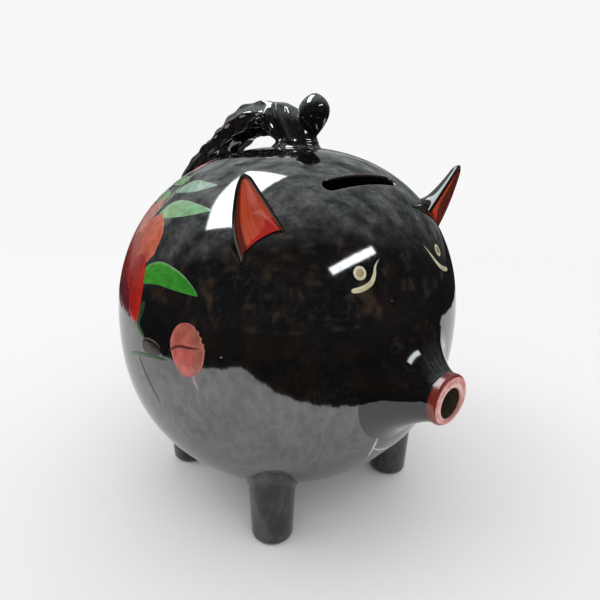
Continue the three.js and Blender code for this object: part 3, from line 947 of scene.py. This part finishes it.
# %% Bud
bud_low, bud_high = (np.array(corner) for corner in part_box("handle_bud"))
bud_axis = (bud_low + bud_high) / 2
BUD_RADIUS = 6.35 * MM
BUD_SIDES = 96
up = np.linspace(0.012, 0.994, 72)[:, None]
angle = (2 * np.pi * np.arange(BUD_SIDES) / BUD_SIDES)[None, :]
pear = np.sin(np.pi * up**1.35) ** 0.62 * (0.90 + 0.14 * up) * BUD_RADIUS
lean = 0.7 * MM * up
bud_points = np.stack([
    bud_axis[0] + pear * (1 + 0.015 * np.sin(3 * angle)) * np.cos(angle),
    bud_axis[1] - lean + 0.4 * MM + pear * np.sin(angle),
    bud_low[2] + (bud_high[2] - bud_low[2]) * up + 0 * angle,
], -1)
bud_thin = 0.35 * (1 - smooth(up, 0.0, 0.25)) * np.ones_like(angle)
bud = make_piece("branch_bud", bud_points, "bank", "black_glaze", BLACK_GLAZE, thin=bud_thin)
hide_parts("handle_bud")

# %% [markdown]
# ## The belly cork
# A tapered plug of natural cork closes the hole under the belly. Pull it down and the coins fall
# out. Its bark pores run through as short dark slits, so the mesh gets pits and the finish grain.

# %% Cork finish
CORK_DARK = (0.30, 0.165, 0.082)
CORK_PALE = (0.52, 0.33, 0.18)
CORK_CELL = (0.40, 0.23, 0.12)
CORK_PORE = (0.085, 0.040, 0.020)


def cork_finish():
    """Patches of two browns, fine cells over them, and dark upright slits that sink in."""
    finish = Finish("cork_grain", IOR=1.4)
    place = finish.place()
    grain = finish.cells(place, 900.0)
    patch = finish.noise(place, 260.0, 4.0, 0.65)
    slit = finish.noise(finish.stretched(place, (1.0, 1.0, 0.25)), 520.0, 2.0, 0.5)
    colour = finish.mix(patch, CORK_DARK, CORK_PALE)
    colour = finish.mix(grain.step(0.1, 0.6) * 0.5, colour, CORK_CELL)
    pores = slit.step(0.62, 0.70)
    finish.colour(finish.mix(pores, colour, CORK_PORE))
    finish.roughness(patch * 0.2 + 0.72)
    finish.bump(patch * 0.4 + grain * 0.2 - pores * 0.9, 0.0006, 0.8)
    return finish.material


# %% Belly cork
CORK_EDGE = 0.9 * MM
CORK_RADIUS = 15.0 * MM
CORK_TAPER = 1.5 * MM
CORK_SIDES = 160
CORK_FACE_ROWS = 26
FACE_MIDDLE = 0.3 * MM
PIT_DEPTH = 0.22 * MM
PIT_SHARE = 0.035
cork_axis = (cork_low + cork_high) / 2
cork_height = cork_high[2] - cork_low[2]
top_radius = CORK_RADIUS - CORK_TAPER


def cork_face(start, end, height):
    """A flat end: radii from start to end at one height."""
    return np.stack([np.linspace(start, end, CORK_FACE_ROWS), np.full(CORK_FACE_ROWS, height)], -1)


corner_turn = np.linspace(0, np.pi / 2, 7)
low_face = cork_face(FACE_MIDDLE, CORK_RADIUS - CORK_EDGE, 0.0)[:-1]
low_edge = np.stack([
    CORK_RADIUS - CORK_EDGE + CORK_EDGE * np.sin(corner_turn),
    CORK_EDGE * (1 - np.cos(corner_turn)),
], -1)
high_edge = np.stack([
    top_radius - CORK_EDGE + CORK_EDGE * np.cos(corner_turn),
    cork_height - CORK_EDGE + CORK_EDGE * np.sin(corner_turn),
], -1)
side_rows = np.linspace(0, 1, 40)[1:-1, None]
cork_side = low_edge[-1] + (high_edge[0] - low_edge[-1]) * side_rows
high_face = cork_face(top_radius - CORK_EDGE, FACE_MIDDLE, cork_height)[1:]
cork_profile = np.vstack([low_face, low_edge, cork_side, high_edge, high_face])
angle = 2 * np.pi * np.arange(CORK_SIDES) / CORK_SIDES
radius, height = cork_profile[:, 0][:, None], cork_profile[:, 1][:, None]
# A few places drawn at random sink in, and each spreads to the next rows and the next column.
random = np.random.default_rng(7)
pits = np.where(random.random((len(cork_profile), CORK_SIDES)) > 1 - PIT_SHARE, 1.0, 0.0)
pits = (pits + np.roll(pits, 1, 0) + np.roll(pits, -1, 0) * 0.6 + np.roll(pits, 1, 1) * 0.5).clip(0, 1)
cork_radius = radius - pits * PIT_DEPTH * (radius > top_radius - 0.4 * MM)
cork_rise = height + pits * PIT_DEPTH * (height < 0.05 * MM)
cork_points = np.stack([
    cork_axis[0] + cork_radius * np.cos(angle),
    cork_axis[1] + cork_radius * np.sin(angle),
    cork_low[2] + cork_rise + 0 * angle,
], -1)
cork = make_piece("belly_plug", cork_points, "cork", "cork", cork_finish())
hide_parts("belly_cork")

# %% [markdown]
# ## Enamel brushwork
# The flowers, brows and smile are soft enamel laid on the finished glaze in single strokes, and
# they stand a hair proud of it. A stroke follows a spine of a few places on the ball. Its width
# swells and tapers along the spine, and its section is a low dome with edges under the glaze.

# %% Enamel finish
DARKER = (0.66, 0.60, 0.62)
PALER = (1.18, 1.22, 1.25)


def enamel_finish():
    """The stroke's own tint, washed darker in clouds and paler in long streaks along the stroke."""
    finish = Finish("overglaze_enamel", IOR=1.5)
    brush = finish.layer("brush", "Vector")
    streak = finish.noise(finish.stretched(brush, (0.8, 7.0, 1.0)), 1.0, 3.0, 0.5)
    wash = finish.noise(finish.stretched(brush, (1.6, 1.8, 1.0)), 1.0, 3.0, 0.55)
    tint = finish.layer("tint", "Color")
    body = finish.mix(wash.step(0.30, 0.70), finish.stretched(tint, DARKER), tint)
    finish.colour(finish.mix(streak.step(0.50, 0.75) * 0.6, body, finish.stretched(tint, PALER)))
    finish.roughness(streak * 0.15 + 0.06)
    finish.bump(streak * 0.5 + wash * 0.3, 0.0003, 0.3)
    return finish.material


ENAMEL = enamel_finish()


# %% Stroke helpers
def ball_way(turn_degrees, rise_degrees):
    """Direction of a place on the ball: turned from straight ahead to the pig's right, then up."""
    turn, rise = np.radians(turn_degrees), np.radians(rise_degrees)
    return np.stack([-np.sin(turn) * np.cos(rise), -np.cos(turn) * np.cos(rise), np.sin(rise)], -1)


def spine_through(knots, count):
    """A smooth run through knots, with even steps between each two: a cubic through every knot, whose
    slope there is half the way from the knot before to the knot after."""
    knots = np.asarray(knots, float)
    padded = np.vstack([2 * knots[0] - knots[1], knots, 2 * knots[-1] - knots[-2]])
    place = np.linspace(0, len(knots) - 1, count)
    cell = np.minimum(place.astype(int), len(knots) - 2)
    t = (place - cell)[:, None]
    a, b, c, d = (padded[cell + k] for k in range(4))
    return 0.5 * (2 * b + (c - a) * t + (2 * a - 5 * b + 4 * c - d) * t**2 + (3 * b - a - 3 * c + d) * t**3)


STROKE_RISE = 0.12 * MM
STROKE_SINK = 0.015 * MM
STROKE_LAYER = 0.045 * MM
STROKE_ROWS = 72
STROKE_COLUMNS = 32
BRUSH_UNIT = 6 * MM


def towards(tone, goal, share_of):
    """The tone moved to the goal colour by a share for each point; no goal leaves it alone."""
    return tone if goal is None else tone + (np.asarray(goal) - tone) * share_of[..., None]


def stroke(name, knots, width, tint, tail=1.0, nose=1.0, under=1.0, rim=None, far=None, side=None,
           order=0, closed_ends=0.55, fray=0.0):
    """A brush stroke. Half width is (u^nose * (1 - u)^tail)^closed_ends, scaled to peak at width in mm;
    under is the share of it below the spine. The tint runs to far along the spine, to side across it
    and to rim at its edge. A higher order lies over a lower one. The section is a dome whose lift is
    (1 - v^2)^0.35, and fray cuts notches into the upper edge of the stroke's first half."""
    spine = spine_through(knots, STROKE_ROWS)
    centre_way = ball_way(spine[:, 0], spine[:, 1])
    path = on_body(centre_way)
    normal = body_normal(path)
    ahead = np.gradient(path, axis=0)
    ahead /= np.linalg.norm(ahead, axis=1, keepdims=True)
    sideways = np.cross(normal, ahead)
    u = np.linspace(0.0, 1.0, STROKE_ROWS)[:, None]
    peak = nose / (nose + tail)
    shape = np.maximum(u, 1e-6) ** nose * np.maximum(1 - u, 1e-6) ** tail
    shape = (shape / (peak**nose * (1 - peak) ** tail)) ** closed_ends
    half = width * MM * shape
    turn = (2 * np.pi * np.arange(STROKE_COLUMNS) / STROKE_COLUMNS)[None, :]
    v = np.cos(turn)
    seed = sum(ord(letter) for letter in name)
    ragged = 1 + 0.012 * np.sin(u * 17 + seed)
    notch = fray * (1 - smooth(u, 0.35, 0.5)) * np.abs((u * 9) % 1 - 0.5) * smooth(v, 0.3, 1)
    across = half * v * np.where(v > 0, 1.0, under) * ragged * (1 - notch)
    top = np.sin(turn) > 0
    dome = np.where(top, 1.0, -1.0) * (1 - v**2) ** 0.35
    taper = np.minimum(1.0, half / (0.8 * MM) + 0.2)
    lift = dome * STROKE_RISE * taper - STROKE_SINK + order * STROKE_LAYER * top
    flat = path[:, None] + sideways[:, None] * across[..., None]
    outward = flat - CENTRE
    outward /= np.linalg.norm(outward, axis=-1, keepdims=True)
    points = on_body(outward, lift)
    whole = np.ones((STROKE_ROWS, STROKE_COLUMNS))
    tone = np.asarray(tint) * whole[..., None]
    tone = towards(tone, far, smooth(u, 0.15, 0.9) * whole)
    tone = towards(tone, side, smooth(v, 0.0, 1.0) * whole)
    tone = towards(tone, rim, smooth(np.abs(v), 0.86, 0.98) * whole)
    length = np.linalg.norm(np.diff(path, axis=0), axis=1).sum()
    brush = np.stack([u * length / BRUSH_UNIT * whole + seed, across / BRUSH_UNIT + seed, 0 * whole], -1)
    return make_piece(name, points, "bank", "black_glaze", ENAMEL, tint=tone, brush=brush)


# %% [markdown]
# ## The face
# Each eye is a cream dot with a tan middle, set under a curled brow that starts thin beside the
# bridge, sweeps under the eye and ends thick. The smile is one thin line with a tick at its end.

# %% Eyes and smile
CREAM = (0.58, 0.56, 0.36)
TAN = (0.33, 0.27, 0.15)
BLUSH = (0.52, 0.49, 0.46)


def dot(name, turn_degrees, rise_degrees, radius, tint, order):
    """A round spot: a short upright stroke whose width follows a circle."""
    reach = np.degrees(radius * MM / SLOT_ARM) * 1.02
    knots = [(turn_degrees, rise_degrees + step) for step in (-reach, 0.0, reach)]
    return stroke(name, knots, radius, tint, closed_ends=0.5, order=order)


# Each eye's middle, and its brow from the bridge outwards.
EYES = {
    "right": (
        (19.0, 27.9),
        [(11.4, 31.2), (13.4, 29.4), (14.3, 27.2), (15.8, 25.2), (18.8, 23.9), (22.3, 23.5)],
    ),
    "left": (
        (-20.2, 29.5),
        [(-10.8, 32.8), (-13.4, 29.5), (-16.2, 26.3), (-19.6, 24.1), (-24.2, 22.8)],
    ),
}
for side_name, (eye_place, brow) in EYES.items():
    dot(f"eye_white_{side_name}", *eye_place, 2.35, CREAM, 0)
    dot(f"eye_iris_{side_name}", *eye_place, 1.40, TAN, 2)
    stroke(f"brow_{side_name}", brow, 0.95, CREAM, tail=0.35, nose=1.3, closed_ends=0.8)

smile = [(9.0, -29.0), (4.0, -31.9), (-2.0, -33.7), (-8.0, -34.2), (-14.0, -32.8), (-19.5, -29.6)]
stroke("smile", smile, 0.55, BLUSH, 0.4, 0.3, closed_ends=0.5)
stroke("smile_tick_right", [(10.0, -21.8), (9.6, -27.0), (9.3, -33.2)], 0.55, BLUSH, 0.5, 0.5)
stroke("smile_tick_left", [(-20.4, -23.4), (-19.8, -28.4), (-20.0, -33.4)], 0.55, BLUSH, 0.5, 0.5)

# %% [markdown]
# ## The flowers
# One bloom and a bud, with half-moon leaves, are painted on the pig's right side towards the
# tail. A leaf is one stroke with nearly all of its width above the spine and a paler edge. Petals
# are loaded with two colours, so they run from one tint to another along the stroke. The order of a
# petal says what it lies over.

# %% Leaves
GREEN_MIDDLE = (0.27, 0.47, 0.23)
GREEN_DEEP = (0.040, 0.27, 0.022)
GREEN_FAR = (0.030, 0.22, 0.020)
EDGE_PALE = (0.38, 0.54, 0.36)
EDGE_MIDDLE = (0.30, 0.50, 0.28)
EDGE_DEEP = (0.15, 0.38, 0.12)

stroke("leaf_upper_near", [(96.0, 47.6), (89.0, 48.6), (82.0, 49.6), (73.0, 52.2)], 6.3, (0.26, 0.47, 0.30),
       1.0, 0.75, under=0.12, rim=(0.36, 0.53, 0.40), far=(0.40, 0.56, 0.47), closed_ends=0.85)
stroke("leaf_middle_near", [(94.5, 38.2), (87.0, 39.8), (78.5, 41.2), (67.8, 43.4)], 7.3, GREEN_MIDDLE,
       1.05, 0.7, under=0.10, rim=EDGE_PALE, far=(0.22, 0.46, 0.25), closed_ends=0.85)
stroke("leaf_lower_near", [(86.8, 20.8), (79.0, 22.0), (71.0, 21.5), (64.2, 20.8)], 7.4, GREEN_DEEP,
       0.95, 0.42, under=0.08, rim=EDGE_DEEP, far=GREEN_FAR, closed_ends=0.8)
stroke("leaf_upper_far", [(97, 52.6), (103, 53.2), (110, 52.6), (120, 50.4)], 4.2, (0.19, 0.40, 0.16),
       0.8, 0.6, under=0.4, rim=EDGE_MIDDLE, closed_ends=0.7)
stroke("leaf_middle_far", [(98, 44.8), (104, 46.0), (111, 46.0), (120, 43.8)], 5.2, (0.15, 0.38, 0.13),
       0.8, 0.6, under=0.4, rim=EDGE_MIDDLE, closed_ends=0.7)
stroke("leaf_far_low", [(129, 21), (135, 24), (142, 25.5), (151, 24)], 6.4, GREEN_DEEP,
       0.9, 0.5, under=0.1, rim=EDGE_DEEP, closed_ends=0.8)
stroke("leaf_far_high", [(131, 44), (137, 46), (144, 46.6), (153, 44)], 6.2, GREEN_MIDDLE,
       1.0, 0.7, under=0.1, rim=EDGE_PALE, closed_ends=0.85)

# %% Stems
STEM_DARK = (0.020, 0.055, 0.016)
STEM_GREEN = (0.020, 0.075, 0.022)
STEM_PALE = (0.36, 0.37, 0.31)

stroke("stem_pale", [(102, 57), (98.6, 52.5), (97.0, 48), (96.8, 44), (98.4, 37.5)], 0.50, STEM_PALE,
       0.3, 0.3)
stroke("stem_bud", [(83.5, 16.0), (84.6, 13.6), (86.0, 11.0), (85.5, 8.6), (82.4, 6.4)], 1.5, STEM_DARK,
       0.6, 0.5, far=(0.045, 0.09, 0.03))
stroke("stem_low_1", [(86, 0), (82.5, -6), (78.5, -12.0)], 0.9, STEM_GREEN, 0.6, 0.5)
stroke("stem_low_2", [(93, -1.5), (87, 0.5), (81, 1.8), (73, 2.6)], 0.8, STEM_GREEN, 0.6, 0.5)
stroke("stem_far", [(124, 12), (128, 17), (130, 22), (133, 26)], 0.8, STEM_DARK, 0.4, 0.4)

# %% Bloom
PETAL_ORANGE = (0.55, 0.120, 0.060)
PETAL_DEEP = (0.30, 0.022, 0.016)
PETAL_PINK = (0.62, 0.24, 0.20)
PETAL_SHADE = (0.12, 0.012, 0.022)

stroke("petal_top_pink", [(108, 57), (114, 59.8), (120, 62.6), (127, 65)], 3.4, PETAL_PINK, 0.8, 0.7,
       closed_ends=0.7)
stroke("petal_back_high", [(101, 46), (104, 39), (106, 32), (107, 24)], 6.4, PETAL_PINK, 0.6, 0.75,
       far=PETAL_ORANGE, closed_ends=0.6)
stroke("petal_back_mid", [(112, 42), (116, 36), (119, 29), (120, 21)], 8.4, PETAL_ORANGE, 0.6, 0.75,
       rim=PETAL_PINK, far=PETAL_DEEP, order=1, closed_ends=0.55)
stroke("petal_back_low", [(104, 27), (110, 21), (114, 14), (115, 6.5)], 6.8, PETAL_DEEP, 0.8, 0.6,
       far=(0.30, 0.010, 0.012), rim=PETAL_SHADE, closed_ends=0.6)
stroke("petal_shade", [(101.5, 33), (101.5, 25), (99.0, 18), (92.0, 10.4)], 8.6, PETAL_DEEP, 0.9, 0.6,
       far=PETAL_SHADE, rim=(0.16, 0.014, 0.02), order=1, closed_ends=0.6)
stroke("petal_upper", [(86.0, 36.6), (90.0, 34.0), (93.4, 29.5), (94.8, 24.0), (94.2, 17.5)], 9.6,
       PETAL_ORANGE, 1.1, 0.62, rim=(0.50, 0.15, 0.10), far=PETAL_DEEP, order=2, closed_ends=0.72)
stroke("petal_lower", [(90.4, 28.0), (90.2, 23.0), (89.2, 17.0), (88.0, 9.4)], 5.6, PETAL_DEEP, 0.75, 0.75,
       far=(0.40, 0.010, 0.008), side=(0.42, 0.020, 0.012), order=3, closed_ends=0.6)

# %% Painted bud
stroke("bud_calyx", [(83.6, 4.0), (80.0, 4.6), (75.6, 4.4)], 3.1, (0.016, 0.014, 0.010), 0.5, 0.5,
       rim=(0.22, 0.17, 0.14), closed_ends=0.6)
stroke("bud_fringe", [(65.6, 2.4), (64.6, -1.0), (63.4, -4.0)], 0.8, (0.30, 0.25, 0.25), 0.7, 0.3)
stroke("bud_round", [(67.0, 13.9), (66.6, 9.5), (66.4, 5.0), (66.4, -0.6)], 7.0, (0.42, 0.115, 0.085),
       0.5, 0.5, rim=(0.52, 0.16, 0.13), far=(0.54, 0.125, 0.105), side=(0.30, 0.11, 0.075), order=1,
       closed_ends=1.0, fray=0.30)
stroke("bud_fold", [(72.0, 5.8), (69.0, 7.4), (65.5, 7.6), (62.6, 7.8)], 0.55, (0.13, 0.026, 0.022),
       0.9, 0.5, order=4)

# %% [markdown]
# ## Studio
# The bank stands on a pale sheet before a pale backdrop, under two soft lights. Far from the bank
# the sheet stops taking light and glows in the backdrop's own tone, so that no horizon shows.

# %% Pale sheet and soft lights
bpy.context.scene.view_settings.view_transform = "Standard"
ROOM_TONE = (0.935, 0.935, 0.935)
PAPER_DIM = (0.90, 0.90, 0.90)
PAPER_PALE = (0.92, 0.92, 0.92)
BLACK = (0.0, 0.0, 0.0)
SHEET_RADIUS = 3.0
SHEET_THICKNESS = 4 * MM
SHEET_SIDES = 96
body_middle = Vector(CENTRE)


def sheet_finish():
    """Paper near the origin, and past 1 m from it only a glow."""
    finish = Finish("pale_sheet", **{"IOR": 1.01, "Emission Strength": 1.0})
    place = finish.place()
    paper = finish.noise(place, 300.0, 4.0)
    away = finish.node("ShaderNodeVectorMath", {"operation": "LENGTH"}, {0: place})
    far = Value(finish, away.outputs["Value"]).step(0.35, 1.0)
    finish.colour(finish.mix(far, finish.mix(paper, PAPER_DIM, PAPER_PALE), BLACK))
    finish.glow(finish.mix(far, BLACK, ROOM_TONE))
    finish.roughness(paper * 0.1 + 0.85)
    return finish.material


def studio_sheet(name, points, ring, finish):
    """A mesh from a (rows, columns, 3) grid for the studio, linked to the scene."""
    index = np.arange(points.shape[0] * points.shape[1]).reshape(points.shape[:2])
    mesh = bpy.data.meshes.new(name)
    mesh.from_pydata(points.reshape(-1, 3).tolist(), [], grid_faces(index, ring).tolist())
    mesh.materials.append(finish)
    sheet = bpy.data.objects.new(name, mesh)
    bpy.context.scene.collection.objects.link(sheet)
    print(f"{name}: {len(mesh.polygons)} faces")
    return sheet


def soft_light(name, place, size, power):
    """A rectangular lamp turned to the bank's middle, which the gloss doesn't mirror."""
    lamp = bpy.data.lights.new(name, "AREA")
    lamp.shape = "RECTANGLE"
    lamp.size, lamp.size_y = size
    lamp.energy = power
    holder = bpy.data.objects.new(name, lamp)
    bpy.context.scene.collection.objects.link(holder)
    holder.location = place
    holder.rotation_euler = (body_middle - Vector(place)).to_track_quat("-Z", "Y").to_euler()
    holder.visible_glossy = False


sheet_radius = SHEET_RADIUS * np.linspace(0.05, 1, 24)[:, None] ** 2
sheet_turn = 2 * np.pi * np.arange(SHEET_SIDES)[None, :] / SHEET_SIDES
sheet_top = np.stack([
    sheet_radius * np.cos(sheet_turn),
    sheet_radius * np.sin(sheet_turn),
    0 * sheet_radius * sheet_turn,
], -1)
sheet_low = sheet_top - [0, 0, SHEET_THICKNESS]
sheet_points = np.vstack([sheet_top, sheet_low[-1:], sheet_low[::-1][1:]])
floor = studio_sheet("pale_sheet", sheet_points, True, sheet_finish())
soft_light("soft_left", (-0.9, 0.5, 1.4), (0.9, 0.7), 3.0)
soft_light("soft_front", (-0.3, -0.9, 1.5), (0.8, 0.5), 1.6)

# %% [markdown]
# A mirror-black glaze shows what is round it more than it shows its own colour. The lower half of
# the ball mirrors a pale table, and past the table's edge a dark room. A flat dark ring with a
# hole of the table's shape gives that edge, and only the gloss sees it.

# %% Dark round the table
# The table's edges from the middle of the ball, left and right as seen from the front.
TABLE_FRONT = 0.153
TABLE_LEFT = 0.270
TABLE_RIGHT = 0.420
TABLE_BACK = 0.380
DARK_REACH = 3.4
DARK_HEIGHT = 0.9 * MM
DARK_SIDES = 1440
LEAST_SLOPE = 0.04


def dark_finish():
    """Near black, with faint brown clouds."""
    finish = Finish("dark_table_edge", IOR=1.2)
    cloud = finish.noise(finish.place(), 9.0, 3.0)
    finish.colour(finish.mix(cloud.step(0.4, 0.7), (0.002, 0.002, 0.002), (0.012, 0.007, 0.005)))
    finish.roughness(cloud * 0.1 + 0.85)
    return finish.material


def table_edge(turn):
    """Distance to a rectangle's edge along each way: the least of side distance over slope."""
    out_right, out_front = np.sin(turn), np.cos(turn)
    distance = np.minimum(
        TABLE_FRONT / np.maximum(out_front, LEAST_SLOPE),
        TABLE_BACK / np.maximum(-out_front, LEAST_SLOPE),
    )
    distance = np.minimum(distance, TABLE_LEFT / np.maximum(-out_right, LEAST_SLOPE))
    return np.minimum(distance, TABLE_RIGHT / np.maximum(out_right, LEAST_SLOPE))


dark_turn = (2 * np.pi * np.arange(DARK_SIDES) / DARK_SIDES)[None, :]
crumble = 1 + 0.012 * np.sin(37 * dark_turn) + 0.007 * np.sin(113 * dark_turn + 1)
dark_near = table_edge(dark_turn) * crumble
dark_away = np.vstack([dark_near, np.maximum(dark_near + 10 * MM, DARK_REACH)])
dark_points = np.stack([
    dark_away * np.sin(dark_turn),
    CENTRE[1] - dark_away * np.cos(dark_turn),
    np.full_like(dark_away, DARK_HEIGHT),
], -1)
flag = studio_sheet("dark_table_edge", dark_points, False, dark_finish())
flag.visible_camera = False
flag.visible_diffuse = False
flag.visible_shadow = False
flag.visible_transmission = False

# %% [markdown]
# The room itself is the world's light. The camera and the shading see one even pale tone, and the
# gloss sees a dark room instead: a haze high up at the back, brown clutter, and two bright window
# panes. A pane is a rectangle on a plane far away, worked out from the direction of the ray.

# %% Room
world = bpy.data.worlds.new("pale_room")
bpy.context.scene.world = world
world.use_nodes = True
room = world.node_tree
room.nodes.clear()


def room_node(kind, inputs, **settings):
    """Any node of the world: its type, its sockets' values or links, and its settings."""
    made = room.nodes.new(kind)
    for name, setting in settings.items():
        setattr(made, name, setting)
    for name, value in inputs.items():
        if isinstance(value, bpy.types.NodeSocket):
            room.links.new(value, made.inputs[name])
        else:
            made.inputs[name].default_value = value
    return made


look = room_node("ShaderNodeTexCoord", {}).outputs["Generated"]


def reckon(operation, first, second):
    """One Math node on two values or numbers."""
    return room_node("ShaderNodeMath", {0: first, 1: second}, operation=operation).outputs[0]


def along_way(way):
    """How far the ray's direction points along a way: their dot product."""
    return room_node("ShaderNodeVectorMath", {0: look, 1: way}, operation="DOT_PRODUCT").outputs["Value"]


def ramp(value, low, high, start=0.0, end=1.0):
    """start below low, end above high, straight between."""
    inputs = {"Value": value, "From Min": low, "From Max": high, "To Min": start, "To Max": end}
    return room_node("ShaderNodeMapRange", inputs).outputs["Result"]


def bright_pane(middle, length_way, half_length, half_width, soft=0.02):
    """1 inside a rectangle on the plane that faces middle: |across / ahead| under each half size."""
    middle = Vector(middle).normalized()
    length_way = Vector(length_way)
    length_way = (length_way - middle * length_way.dot(middle)).normalized()
    ahead = along_way(middle)
    pane = ramp(ahead, 0.05, 0.10)
    for way, half in ((length_way, half_length), (middle.cross(length_way), half_width)):
        slope = reckon("ABSOLUTE", reckon("DIVIDE", along_way(way), ahead), 0.0)
        pane = reckon("MULTIPLY", pane, ramp(slope, half + soft, half))
    return pane


def blend(share, low, high):
    """The low colour where share is 0, the high colour where it is 1."""
    return room_node("ShaderNodeMix", {0: share, 6: low, 7: high}, data_type="RGBA").outputs[2]


GLOOM = (0.018, 0.019, 0.020, 1)
CLUTTER_BROWN = (0.22, 0.15, 0.10, 1)
HAZE = (0.80, 0.86, 0.86, 1)
WINDOW = (7.0, 7.4, 7.6, 1)
haze = ramp(along_way(Vector((0.30, 0.55, 0.78)).normalized()), 0.25, 0.98)
clutter = room_node("ShaderNodeTexNoise", {"Vector": look, "Scale": 6.0, "Detail": 6.0}).outputs["Fac"]
speckle = room_node("ShaderNodeTexNoise", {"Vector": look, "Scale": 24.0, "Detail": 3.0}).outputs["Fac"]
haze = reckon("MULTIPLY", haze, ramp(clutter, 0.34, 0.68, 0.25, 1.2))
haze = reckon("MULTIPLY", haze, ramp(speckle, 0.3, 0.7, 0.6, 1.2))
brown = ramp(clutter, 0.54, 0.74)
windows = reckon(
    "MAXIMUM",
    bright_pane((-0.154, 0.404, 0.914), (0.96, 0.256, -0.10), 0.44, 0.16),
    bright_pane((0.215, -0.775, 0.60), (0.95, 0.30, 0.05), 0.27, 0.032),
)
gloss_room = blend(windows, blend(haze, blend(brown, GLOOM, CLUTTER_BROWN), HAZE), WINDOW)
in_gloss = room_node("ShaderNodeLightPath", {}).outputs["Is Glossy Ray"]
pale_light = room_node("ShaderNodeBackground", {"Color": (*ROOM_TONE, 1), "Strength": 1.0}).outputs[0]
dim_light = room_node("ShaderNodeBackground", {"Color": gloss_room, "Strength": 1.0}).outputs[0]
light = room_node("ShaderNodeMixShader", {0: in_gloss, 1: pale_light, 2: dim_light}).outputs[0]
room_node("ShaderNodeOutputWorld", {"Surface": light})
print("room nodes:", len(room.nodes))

# %% [markdown]
# ## Camera
# The bank is seen from its right front, a little above, from close by with a wide lens.

# %% Camera
CAMERA_AZIMUTH = np.radians(-39.2)
CAMERA_RISE = np.radians(19.05)
CAMERA_ROLL = np.radians(0.58)
CAMERA_FROM_CENTRE = Vector((-0.1376, -0.1687, 0.0752))
lens = bpy.data.cameras.new("camera")
camera = bpy.data.objects.new("camera", lens)
bpy.context.scene.collection.objects.link(camera)
backward = Vector((
    np.sin(CAMERA_AZIMUTH) * np.cos(CAMERA_RISE),
    -np.cos(CAMERA_AZIMUTH) * np.cos(CAMERA_RISE),
    np.sin(CAMERA_RISE),
))
right = Vector((0, 0, 1)).cross(backward).normalized()
upward = backward.cross(right)
rolled_right = right * np.cos(CAMERA_ROLL) + upward * np.sin(CAMERA_ROLL)
rolled_up = upward * np.cos(CAMERA_ROLL) - right * np.sin(CAMERA_ROLL)
turned = Matrix((rolled_right, rolled_up, backward)).transposed().to_4x4()
camera.matrix_world = Matrix.Translation(body_middle + CAMERA_FROM_CENTRE) @ turned
lens.sensor_width = 36.0
lens.lens = 29.69
lens.shift_x = 0.0168
lens.shift_y = 0.0192
lens.clip_start = 0.01
bpy.context.scene.camera = camera
camera_place = [round(v / MM, 1) for v in camera.matrix_world.translation]
print("camera (mm):", camera_place, "lens:", round(lens.lens, 2))
